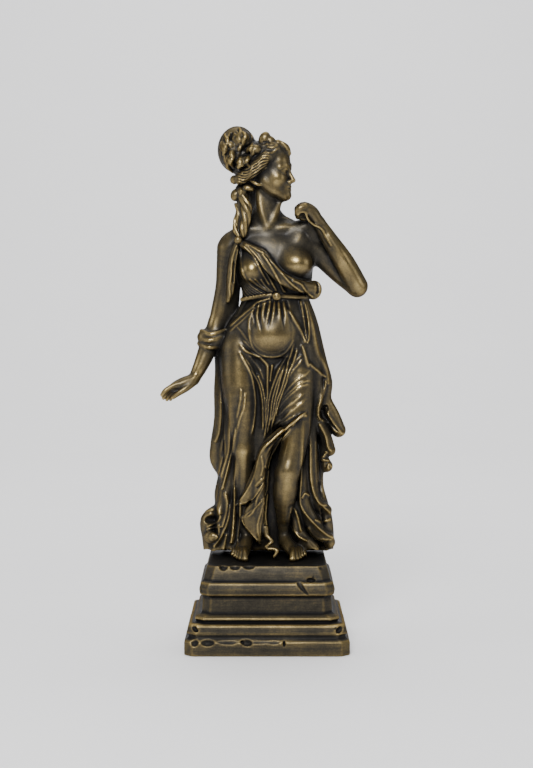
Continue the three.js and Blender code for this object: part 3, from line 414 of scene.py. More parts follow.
def foot(clay, ankle, toe, outward):
    """A bare foot from the ankle's x to the big toe's; outward is 1 if its little toe is to the right."""

    def at(x, y, height):
        return [x, y, drawn_height(y, PLINTH_STEPS + height)]

    instep = at(mix(ankle, toe, 0.5), -12, 13)
    clay.add(Limb([at(ankle, -1, 22), instep, at(toe, -22, 7)], [5.4, 6, 4.4]), 3)
    outer = toe + 8 * outward
    edge = [at(ankle, -2, 14), at(mix(ankle, outer, 0.6), -9, 10), at(outer, -12, 7)]
    clay.add(Limb(edge, [5, 5.6, 4]), 5)
    clay.add(Blob(at(ankle + 4.6 * outward, -3, 20), [2, 3, 2.6]), 3)  # ankle bone
    toes = (  # steps outward, y, height and size
        (0, -33, 2.6, 3.4),
        (4.4, -30.5, 2.8, 2.3),
        (7.2, -26.5, 3.4, 2.2),
        (9.8, -21.5, 4.2, 2.1),
        (12.2, -15.5, 5, 2),
    )
    for across, y, height, size in toes:
        knuckle = at(toe + 0.75 * across * outward, y + 11, height + 8)
        tip = at(toe + across * outward, y, height)
        bend = mix(knuckle, tip, 0.5) + [0, -1.4, 1]
        clay.add(Limb([knuckle, bend, tip], [size, size * 0.85, size]), 0.4)


def arms(clay):
    """The arm that hangs, its hand held out, and the raised arm, its hand drooping by the shoulder."""
    upper = [[-36, 2, 391], [-39.5, 3, 371], [-42.5, 4, 350], [-50.5, 4, 316]]
    clay.add(Limb(upper, [14.2, 11.2, 9.5, 8.3]), 6)
    forearm = [[-50.5, 4, 316], [-59, 0, 292], [-66, -4, 275], [-73.5, -7, 260]]
    clay.add(Limb(forearm, [8.3, 9, 7.6, 5.6]), 3)
    palm = [[-73, -7, 261], [-81, -8.5, 258], [-88, -10, 255], [-93, -11, 253]]
    clay.add(Limb(palm, [5.4, 6, 5.8, 4.6], deep=1.4), 2.5)
    fingers = (  # from the forefinger, nearest to the eye, to the little finger
        ([[-91, -15, 255.5], [-97, -17, 252.5], [-102, -18, 249], [-105, -18, 245]], 2.5),
        ([[-92, -11.5, 253.5], [-98, -13, 250], [-101.5, -13.5, 246], [-103.5, -13.5, 242]], 2.5),
        ([[-91, -8, 252.5], [-96, -8.5, 248.5], [-99, -9, 244], [-100, -9, 240.5]], 2.4),
        ([[-89, -4.5, 251.5], [-93, -4.5, 248], [-95.5, -4.5, 244], [-96.5, -4.5, 240.5]], 2.2),
    )
    for points, size in fingers:
        clay.add(Limb(points, [size * 1.2, size, size, size * 0.8]), 1.2)
    thumb = [[-74, -12, 257], [-81, -16, 251.5], [-88, -18, 247], [-94, -18.5, 242.5]]
    clay.add(Limb(thumb, [3.6, 3.4, 2.8, 2]), 2)

    upper = [[33, 1, 400], [52, -1, 387], [71, -4, 367.5], [90, -6, 352.5]]
    clay.add(Limb(upper, [15.3, 12, 9.7, 9.8]), 6)
    forearm = [[90, -8, 354], [77, -14, 378], [63, -16, 400], [52.5, -16, 417]]
    clay.add(Limb(forearm, [11, 10.4, 8.2, 6.2]), 1.5)
    bone = [[94, -14, 350], [80, -22, 377], [62, -22, 404]]
    clay.add(Limb(bone, [1.2, 1.4, 1.2]), 6)
    hand = [[51, -16, 418], [45, -17, 427], [37.5, -18, 431.5], [32.5, -18, 430.5]]
    clay.add(Limb(hand, [6.2, 7, 6.8, 5.4], deep=1.3), 2.5)
    clay.add(Blob([48, -8, 410], [9, 7, 13], -20), 4)  # heel of the hand, close above the shoulder
    clay.add(Blob([37, -13, 425.5], [8, 8, 6.5]), 2)
    clay.add(Blob([38, -3, 413], [13, 9, 8]), 3)
    for n, y in enumerate((-24, -19.5, -15, -11)):
        drop = n * 0.6
        finger = [
            [38, y, 433.6], [33, y - 1, 431.6 - drop], [30.6, y, 427.6 - drop], [31, y + 1, 424.5 - drop],
        ]
        clay.add(Limb(finger, [3.6, 3.7, 3.2, 2.4]), 0.9)
    clay.carve(Blob([36, -24, 420.5], [5, 7, 3.6], 15), 1.5)
    rim = [[31, -26, 425.5], [34, -27, 428], [38.4, -26.5, 427.2], [41, -25, 420.6], [46.5, -24, 415.4]]
    clay.add(Limb([*rim, [54.6, -24, 411], [58.6, -24, 404], [64, -25, 395]], [1.1]), 1.6)


# The head. Its places are steps forward along the gaze, towards the eye, and up from eye level.


def on_head(forward, near, up):
    turn = math.radians(20)
    return np.array([
        1 + forward * math.cos(turn) - near * math.sin(turn),
        2 - forward * math.sin(turn) - near * math.cos(turn),
        469 + up,
    ])


def head(clay):
    """A calm, ideal face: eyes at mid height, and brow, nose and chin in equal thirds."""
    clay.add(Blob(on_head(-2, 0, 7), [23, 18.5, 21.5]), 4)
    clay.add(Blob(on_head(6, 0, -6), [16.5, 15.5, 21]), 6)
    clay.add(Blob(on_head(12, 0, 10), [10.5, 14, 11]), 4)  # forehead
    for side in (-1, 1):
        jaw = [on_head(18, side * 3, -24), on_head(10, side * 10.5, -19), on_head(1, side * 13.5, -11)]
        clay.add(Limb(jaw, [4, 3.8, 4]), 7)
        clay.add(Blob(on_head(14, side * 9.5, -7), [5, 4.4, 5]), 8)  # cheek
        clay.carve(Blob(on_head(23.5, side * 7.4, 0), [4, 4.2, 3.2]), 3)
        clay.add(Blob(on_head(18, side * 7.2, -0.4), [3.6, 3.6, 3.2]), 0.8)
        lid = [on_head(20.8, side * 3.4, -0.6), on_head(21.9, side * 6.6, 2), on_head(18.6, side * 11, 0)]
        clay.add(Limb(lid, [0.8, 0.9, 0.8]), 0.8)
        lid = [on_head(20.6, side * 3.6, -1.4), on_head(21, side * 7, -2.8), on_head(18.4, side * 10.6, -1)]
        clay.add(Limb(lid, [0.6, 0.7, 0.6]), 0.8)
        brow = [on_head(22, side * 2, 3.4), on_head(21.4, side * 6.5, 5.4), on_head(17, side * 12, 3.6)]
        clay.add(Limb(brow, [1, 1, 0.8]), 4)
        clay.add(Blob(on_head(24.2, side * 2.4, -10.6), [2.4, 1.9, 1.9]), 1.2)
    nose = [on_head(20.5, 0, 4), on_head(24, 0, -4), on_head(27, 0, -9.4)]
    clay.add(Limb(nose, [1.9, 2, 2.4]), 2)
    clay.add(Blob(on_head(19.5, 0, -16.5), [4.5, 6.5, 5]), 4)
    upper = [on_head(21.6, -4.6, -16.8), on_head(23.6, 0, -15.6), on_head(21.6, 4.6, -16.8)]
    lower = [on_head(21.4, -3.8, -18.6), on_head(23.2, 0, -19.2), on_head(21.4, 3.8, -18.6)]
    parting = [on_head(23.2, -5, -17.4), on_head(25, 0, -17.3), on_head(23.2, 5, -17.4)]
    clay.add(Limb(upper, [0.8, 1.4, 0.8]), 1)
    clay.add(Limb(lower, [0.9, 1.5, 0.9]), 1)
    clay.carve(Limb(parting, [0.5]), 0.5)
    clay.add(Blob(on_head(19, 0, -24.8), [5.2, 5.2, 4.2]), 3.5)


BUN_MIDDLE, BUN_HALF = (-31, 491), (17, 22)  # x and z, in steps
BUN_LOCKS = 46


def hair(clay):
    """Hair combed up in strands to a high bun, with leaves tucked in and twisted locks on the shoulder."""
    clay.add(Blob([-8, 4, 480], [22, 20, 19]), 2)
    clay.add(Blob([2, 1, 486.5], [21, 18, 14], 8), 2)
    clay.add(Blob([-30, 7, 490.5], [19.5, 17, 23.5], 3), 3)
    clay.add(Blob([-24, -3, 500], [8, 9, 9], 20), 3)  # rolls on the bun
    clay.add(Blob([-40, -2, 488], [7, 9, 15], -5), 3)
    clay.add(Blob([-34.5, -9, 482], [5, 6, 7], 15), 2)
    clay.add(Limb([[-20, 8, 472], [-15, 17, 450], [-10, 17, 426]], [13, 10, 7]), 5)  # nape
    clay.add(Limb([[10, -8, 489], [-2, -15, 481], [-14, -16, 470], [-27, -10, 461]], [4.5, 6, 6.5, 6]), 2)
    clay.add(Limb([[22, -5, 486.5], [19, -8, 493], [11, -10, 497]], [2.4, 3.2, 3.6]), 2)  # forehead
    clay.add(Limb([[-25, -2, 450], [-24, -6, 436], [-23, -9, 420], [-24, -11, 406]], [7, 6, 6, 4.6]), 2)
    leaves = (  # [x, y, z], radii, tilt
        ([-11.5, -14, 490.5], [6.4, 5, 5], 10),
        ([-24, -15, 477.5], [8.4, 4.6, 4.4], -42),
        ([5.5, -12, 491.5], [8.6, 4.4, 7], 25),
        ([-2.6, -9, 501.4], [5.6, 5, 7.4], 28),
        ([3.2, -9, 499.4], [6.4, 4.6, 4.6], 34),
        ([-32.5, -8, 460.3], [4.6, 5, 4.6], 0),
        ([-25.5, -9, 448], [5, 5, 5], 0),
        ([-31.5, -6, 445], [5, 6, 6.4], 15),
        ([-18.5, -10, 452], [6, 4.6, 3.4], 20),
    )
    for centre, radii, tilt in leaves:
        clay.add(Blob(centre, radii, tilt), 0.8)
    clay.carve(Blob([-1.5, -16, 498], [5, 4, 1.5], 10), 0.8)
    curl = [[-15.5, -13, 459], [-10, -14.5, 456], [-5, -13, 455.5], [-4, -12, 458]]
    clay.add(Limb(curl, [1.4, 1.8, 1.6, 1.2]), 1)
    front = clay.relief()
    waves = (
        [[2, 482], [-4.5, 482], [-9, 478], [-14.5, 474.5], [-16.5, 470], [-22, 468], [-30, 470]],
        [[0, 473], [-6, 468], [-10, 465], [-15.5, 462], [-20, 458.5], [-24, 457], [-29, 459]],
    )
    front.fan(*waves, 5, 1.5, 2.3, fade=(0.05, 0.05), sharp=1.0)
    above = [[3, 487], [-4, 487], [-9, 483], [-14.5, 480], [-18, 475], [-24, 474], [-31, 477]]
    front.fan(above, mix(above, waves[0], 0.5), 2, 1.5, 2, fade=(0.05, 0.05), sharp=1.0)
    strand = dict(fade=(0.12, 0.12), sharp=1.1)
    front.lines(1.9, -2.4, (
        [[-27.9, 495], [-30.6, 486.8], [-32, 477.4], [-34, 468]],
        [[-41.4, 504.4], [-44.1, 495], [-45.5, 481.4], [-41.4, 470.6]],
        [[-34.7, 508], [-37.4, 499], [-40, 487], [-38.6, 476]],
        [[-21.5, 511], [-16.5, 503], [-18, 496], [-23.9, 489.5]],
        [[-29.5, 510], [-25, 503], [-28, 496], [-33, 492]],
        [[-15, 486], [-20, 486.5], [-26, 484]],
        [[-8, 498], [-12, 499], [-17, 494]],
    ), **strand)
    front.lines(1.7, 1.3, (
        [[-38, 506], [-41, 496], [-42.6, 484], [-40, 474]],
        [[-45.5, 499], [-47.4, 489], [-46, 478]],
        [[-32, 508], [-34, 500], [-36.6, 490], [-34.6, 481], [-36, 474]],
        [[-25.5, 510], [-21, 503], [-23.5, 496], [-29, 490]],
        [[-18, 508], [-13, 500], [-14.5, 496]],
        [[-10, 496], [-4, 495], [1, 497.5]],
        [[-27, 472], [-21, 478], [-17, 484]],
        [[-3, 489], [4, 487], [11, 492]],
        [[0, 493.5], [6, 492.5], [11, 496]],
        [[14, 500], [18, 495], [20.5, 489]],
        [[-30, 457], [-26, 450], [-28, 442]],
        [[-22, 452], [-20, 447], [-24, 441]],
    ), **strand)
    clay.press(front, 1, 6)
    depth = clay.depths(1)
    across, _, up = clay.space.axes
    rng = np.random.default_rng(5)
    for _ in range(BUN_LOCKS):  # short locks all over the bun
        turn, out = rng.uniform(0, 2 * math.pi), math.sqrt(rng.uniform(0, 0.9))
        x = BUN_MIDDLE[0] + BUN_HALF[0] * out * math.cos(turn)
        z = BUN_MIDDLE[1] + BUN_HALF[1] * out * math.sin(turn)
        lean = rng.uniform(-0.9, 0.9)
        path = [[x + lean * k + 2 * math.sin(1.3 * k + turn), z + 3 * k] for k in (-2, -1, 0, 1, 2)]
        places = [[a, depth[np.searchsorted(across, a), np.searchsorted(up, b)] + 0.2, b] for a, b in path]
        if np.isfinite(places).all():
            clay.add(Limb(places, [0.9, 1.9, 2.3, 1.9, 0.9], pieces=2), 0.4)
    lock = [[-25, -9, 445], [-21, -13, 434], [-20.5, -15, 423], [-23, -16, 412], [-24, -17, 403]]
    twisted(clay, lock, 6.2, 0.8)
    twisted(clay, [[-30, -6, 436], [-28, -9, 427], [-31, -10, 418], [-31, -12, 409], [-27, -15, 402]], 4, 0.7)
    back = clay.relief()
    strands = [[-20, 508], [-32, 492], [-20, 470], [-14, 444]], [[14, 494], [2, 474], [-8, 452], [-6, 430]]
    back.fan(*strands, 9, 2.6, 1.5, fade=(0.1, 0.1), sharp=1.0)
    clay.press(back, -1, 8)


def twisted(clay, path, size, turns):
    """A lock of hair: four strands wound round a path, thickest in its upper part."""
    spine = curve_through(path, 6)
    share = np.linspace(0, 1, len(spine))
    width = np.interp(share, (0, 0.3, 0.8, 1), (0.8, 1, 0.75, 0.3)) * size
    for strand in range(4):
        phase = 2 * math.pi * (turns * share + strand / 4)
        around = np.stack([np.cos(phase), np.sin(phase), np.zeros_like(phase)], 1)
        clay.add(Limb(spine + around * width[:, None] * 0.55, list(width * 0.42), pieces=1), 0.6)


# The dress and the mantle


def dress(clay):
    skirt = [
        [322, -34, 47, -17, 22],
        [300, -44, 49, -18, 26],
        [270, -45, 52, -15, 30],
        [240, -45, 54, -11, 33],
        [200, -43, 50, -8, 36],
        [160, -43, 50, -5, 39],
        [120, -47, 55, -2, 43],
        [95, -54, 60, 3, 47],
        [76, -56, 62, 5, 50],
    ]
    clay.add(Trunk(skirt), 5)
    clay.add(Limb([[-46, 6, 294], [-42, 6, 270], [-40, 4, 250]], [8, 9, 8]), 4)
    middle = [[2, -11, 292], [1, -11, 262], [-1, -11, 230], [-4, -13, 204], [-5, -14, 182]]
    clay.add(Limb(middle, [15, 14, 12, 9, 6], deep=0.75), 7)
    clay.add(Limb([[17, -20, 266], [12, -17, 244], [7, -16, 222]], [7, 8, 7]), 9)
    clay.add(Limb([[-32, 7, 362], [-36, 8, 335], [-41, 8, 306]], [6, 8, 8]), 4)


def mantle(clay):
    """The bulk of the mantle: the scarf over the breast, and the cloth that hangs on both sides."""
    scarf = [[-24, -17, 395], [-8, -23, 386], [2, -26, 374], [13, -25, 363], [28, -23, 355], [46, -15, 352]]
    clay.add(Limb(scarf, [3.4, 5, 5.6, 5.8, 6, 5.6], deep=0.75), 2)
    strap = [[-30, -15, 396], [-34, -14, 380], [-36, -12, 362], [-37, -9, 347], [-38.5, -7, 339]]
    clay.add(Limb(strap, [2.6, 3.8, 4.2, 3.4, 1.4]), 1)
    left = (
        (
            [[-44, 5, 288], [-46.5, 4, 254], [-46, 3, 222], [-49.5, 4, 197], [-50, 5, 180], [-42, 6, 166]],
            [6, 6.5, 7, 7, 7, 6],
        ),
        (
            [[-42, 6, 168], [-45, 6, 148], [-46, 6, 132], [-57.5, 6, 120], [-57, 9, 103], [-55, 14, 86]],
            [6, 7.5, 7.5, 9, 8, 8],
        ),
        ([[-38, -4, 286], [-38, -5, 250], [-38, -5, 214], [-42, -4, 190], [-45, -2, 168]], [4, 5, 6, 6, 5]),
        (
            [[-32, -4, 230], [-34, -4, 200], [-38, -3, 166], [-42, -1, 134], [-45, 2, 106], [-47, 4, 84]],
            [3, 5, 7, 8, 9, 9],
        ),
        ([[-31, -4, 150], [-34, -2, 118], [-36, 0, 84]], [4, 7, 8]),
    )
    right = (
        (
            [[38, -8, 340], [45, -5, 318], [50, -3, 295], [53.5, -3, 278], [59, -1, 258], [58, 0, 241],
             [66, 1, 225], [71.5, 2, 210]],
            [4.4, 5.6, 6.2, 6.8, 6.5, 6.6, 6.6, 7.4],
        ),
        (
            [[36, -12, 338], [43, -12, 312], [48, -10, 280], [50, -9, 252], [50, -7, 222], [58, -4, 205],
             [62.5, -1, 190]],
            [3, 5, 6, 6, 6, 6, 6.2],
        ),
        (
            [[46, -8, 240], [44, -9, 205], [44, -9, 176], [46, -8, 150], [52, -7, 136], [60, -4, 130]],
            [5, 6, 6, 6, 6, 5],
        ),
        ([[54, 9, 244], [57, 9, 222], [56, 7, 200], [54, 2, 184], [59.5, 2, 174]], [7, 8, 8, 7, 6.3]),
        (
            [[50, 2, 176], [50, 2, 155], [53, 2, 138], [57.5, 2, 122], [60, 6, 104], [58, 12, 86]],
            [7, 6.5, 7.8, 7.8, 7, 8],
        ),
        (
            [[36, -11, 200], [36, -11, 170], [36, -10, 150], [39, -9, 132], [45, -8, 118], [54, -6, 106],
             [62, -4, 102]],
            [4, 5, 6, 7, 8, 7, 5],
        ),
        ([[30, -10, 136], [30, -10, 118], [35, -9, 104], [45, -7, 92]], [3, 5, 6, 7]),
    )
    between = (
        [[14, -27, 210], [0, -28, 194], [-6, -26, 172], [-8, -23, 150], [-8, -20, 130], [-6, -17, 108]],
        [3, 5, 6.4, 6.4, 5.4, 3],
    )
    for points, radii in (*left, *right, between):
        clay.add(Limb(points, radii, deep=1.2), 3)
    upper = [[0, -26, 190], [-7, -25, 172], [-14, -23, 153], [-23, -21, 140]]  # tongues of cloth
    clay.add(Limb(upper, [4, 6, 7, 4], deep=0.6), 2)
    lower = [[-8, -22, 138], [-15, -21, 123], [-11, -21, 109], [-7, -20, 98]]
    clay.add(Limb(lower, [6, 8.6, 6, 1.6], deep=0.5), 2)
    clay.add(Blob([46.5, -13, 350], [8.4, 4.6, 9.8], 12), 2)
    clay.add(Blob([62, 0, 98], [6.3, 8, 6.6]), 2)
    clay.add(Blob([-56, -4, 103], [7, 6, 6.5], 20), 2)
    clay.add(Blob([-53.6, -9, 103], [5, 4, 4.6], 20), 1)
    clay.carve(Blob([57, -9, 228], [4, 9, 7.5], 20), 1.5)
    clay.carve(Blob([-56.5, -9, 120.5], [8, 10, 5], -8), 1.2)
    clay.add(Limb([[-25, -13.5, 340.5], [-10, -18.5, 343], [4, -20.5, 345]], [2.2]), 1)  # belt
    clay.add(Limb([[14, -20.5, 343.5], [28, -17.5, 343], [43, -11, 343]], [2.2]), 1)
    clay.add(Limb([[-24, 10, 341], [8, 20, 343], [42, 10, 343]], [2.4]), 1)
    clay.add(Blob([9.7, -23, 343.5], [4.4, 3, 4.4]), 0.6)
    clay.carve(Blob([9.7, -26.5, 343.5], [3, 1.4, 3]), 0.5)
    clay.add(Blob([9.7, -25, 343.5], [1.7, 1.6, 1.7]), 0.4)
    clay.add(Blob([-29, -19, 400], [4, 3.6, 4]), 0.8)  # brooch
    sleeve = (  # cloth pushed up round the forearm
        [[-65.5, -2, 309], [-56, -10.6, 305.6], [-41, -6, 310.5]],
        [[-67.5, -1, 303.5], [-58, -11.6, 299.5], [-43, -7, 304]],
        [[-68, -1, 296.6], [-58, -11, 292.6], [-47, -5, 293]],
    )
    clay.add(Limb([[-61.5, 0, 302.6], [-55, -1, 299.6], [-48, 0, 301.6]], [8.2, 9.6, 9.6], deep=1.1), 1.5)
    for path in sleeve:
        clay.add(Limb(path, [1.6, 2.1, 1.6]), 1.6)
        clay.add(Limb([path[0], [-56, 11, path[1][2] + 2], [-45, 9, path[2][2]]], [1.8]), 1.6)


def tail(clay):
    """The ribbon of cloth that curls down between the feet."""
    path = [
        [-1.6, -19, 112], [-0.6, -21, 105], [2.4, -23, 101.6], [4.6, -24, 98.4], [2, -25, 95.4],
        [-0.8, -25, 93], [1.6, -25, 90.8], [5.6, -25, 91], [9.4, -26, 89.6], [9.4, -27, 86.6],
        [7.2, -28, 83.4],
    ]
    clay.add(Limb(path, [3.4, 2.8, 2.3, 2.1, 1.9, 1.8, 1.9, 2.1, 2.3, 2, 1.5], deep=1.3), 0.6)


def belly_folds(relief):
    """Pleats from the scarf to the belt, and below the belt over the belly."""
    fine = dict(sharp=1.1, fade=(0.08, 0.08))
    first = [[-28.6, 392.2], [-29.9, 374.6], [-27.9, 359.7], [-23.9, 347.6], [-19.8, 342.2]]
    last = [[-27.2, 389.5], [-25.9, 371.9], [-21.1, 359.7], [-13, 351.6], [-0.9, 344.9]]
    relief.fan(first, last, 6, 2, 2.8, **fine)
    lower = [[-18.4, 361], [-9, 354.3], [1.8, 347.6]], [[-6.3, 361], [-0.9, 353], [5.9, 347.6]]
    relief.fan(*lower, 3, 1.9, 2.4, **fine)
    pleats = (
        [[-10, 336], [-12.5, 324], [-9.5, 307]],
        [[-6, 336], [-7.5, 324], [-4.5, 303]],
        [[0.7, 338], [-1.2, 329], [-3, 321]],
        [[5.5, 338], [3.6, 326], [0, 308]],
        [[9.3, 338], [9.3, 329], [9, 323]],
        [[14, 338], [15.6, 324], [17.6, 307]],
        [[19, 338], [22.7, 326], [25.4, 316]],
    )
    for points in pleats:
        relief.line(points, 2.3, -2.6, fade=(0.02, 0.75), sharp=1.2)
    for a, b in zip(pleats, pleats[1:]):
        relief.line(mix(a, b, 0.5), 2.2, 1.2, fade=(0.05, 0.7), sharp=1.2)
    hem = [
        [-14, 330], [-18, 320], [-18.1, 310], [-17.3, 301.6], [-15.2, 294], [-10.1, 287.3], [-3.4, 283.9],
        [4.2, 282.4], [11.8, 283.5], [18.5, 287.3], [23.6, 294], [26.9, 301],
    ]
    relief.line(hem, 1.7, 1.6, sharp=1.0, fade=(0.1, 0.1))


def thin_folds(relief):
    """Folds of the thin dress, which clings to the legs: long curves that meet left of the raised thigh."""
    relief.lines(1.6, 1.2, (
        [[-26.1, 308.3], [-16.8, 294.8]],
        [[-31, 314.5], [-24, 306], [-17, 296]],
        [[-26.9, 294.8], [-15.2, 281.4], [-7.6, 270.4], [-3.4, 260]],
        [[-24, 300], [-12, 288], [-5, 280]],
        [[-25, 285], [-18, 276], [-12, 266], [-8, 256]],
        [[-25.7, 251], [-27, 238.5], [-30.3, 221.6]],
        [[-21.5, 247.7], [-22.7, 234.2], [-27, 221.6], [-30.3, 209]],
    ), sharp=1.0, fade=(0.1, 0.15))
    stem = [
        [-27.8, 296.5], [-21, 289], [-11.8, 284.7], [-5.9, 281.4], [-0.9, 276.3], [0.8, 271.3],
        [0.6, 259.5], [0.4, 246], [-1, 230], [-2, 213],
    ]
    relief.line(stem, 2.3, 3, sharp=1.1, fade=(0.15, 0.1))
    folds = (
        [[-27.8, 288], [-21, 276.3], [-16, 266.2], [-13.5, 256.1], [-11.8, 242.7], [-11.8, 230],
         [-13.1, 217.4], [-15.2, 204.8]],
        [[-16.8, 272.1], [-10.1, 260.3], [-6.7, 251], [-4.6, 238.4], [-4.2, 225.8], [-3.8, 209]],
        [[-10, 266], [-5, 254], [-2.4, 240], [-2, 226]],
        [[22.7, 287.3], [16.8, 278.9], [11.8, 270.4], [7.6, 259.5], [4.2, 249.4], [1.7, 238.4], [0.8, 225.8],
         [-0.9, 213.2], [-2.5, 201.4]],
        [[26.9, 297.4], [24.4, 287.3], [21, 278], [19.3, 267.9], [16.8, 258.7], [13.9, 249.4], [10.1, 239.3],
         [8.4, 229.2], [6.3, 219.1], [4, 209]],
        [[15.1, 269.6], [10.9, 259.5], [7.6, 249.4], [5, 238.4], [3.8, 227.5], [2.5, 217.4], [0, 205.6]],
        [[18, 277], [14.5, 266], [11, 252], [8, 240], [6, 228], [4.4, 218]],
        [[30.3, 292], [27.8, 282.2], [25.2, 274.6], [21.9, 267.9], [19.3, 258], [15, 246], [11, 234],
         [8.4, 222]],
        [[5.5, 276], [4, 266], [3, 258]],
    )
    relief.lines(2.1, 2.9, folds, sharp=1.1, fade=(0.12, 0.1))
    across = (
        [[37, 283], [32, 276.3], [26.9, 270.4], [21.9, 262.9], [18.1, 255.3], [15, 247], [11.5, 236]],
        [[35.3, 285], [30.3, 280.5], [26.9, 275.5], [24, 268]],
        [[43.8, 270.5], [38.7, 265.4], [33.7, 262.9], [26.9, 257.8], [21, 251], [16, 244], [12, 234]],
        [[45.4, 258.2], [40.4, 259.1], [35.3, 257.8], [30.3, 254.4], [23.6, 248.6], [17.7, 242.7],
         [12.6, 235.9], [9.4, 227]],
        [[43, 255], [36, 254.6], [29, 250], [21, 243], [15, 236], [11, 229]],
        [[37, 246.9], [30.3, 241], [23.6, 235.9], [17.7, 230.9], [12, 224]],
        [[39.6, 241.8], [34.5, 236.8], [29.4, 233.4], [22.7, 227.5], [16.8, 221.6], [10.1, 216.6],
         [4, 210.5]],
        [[28.6, 224.6], [21.9, 221.4], [15.1, 217.2], [8.4, 211.2], [3, 205]],
    )
    relief.lines(1.5, 1.2, across, sharp=1.0, fade=(0.2, 0.15))


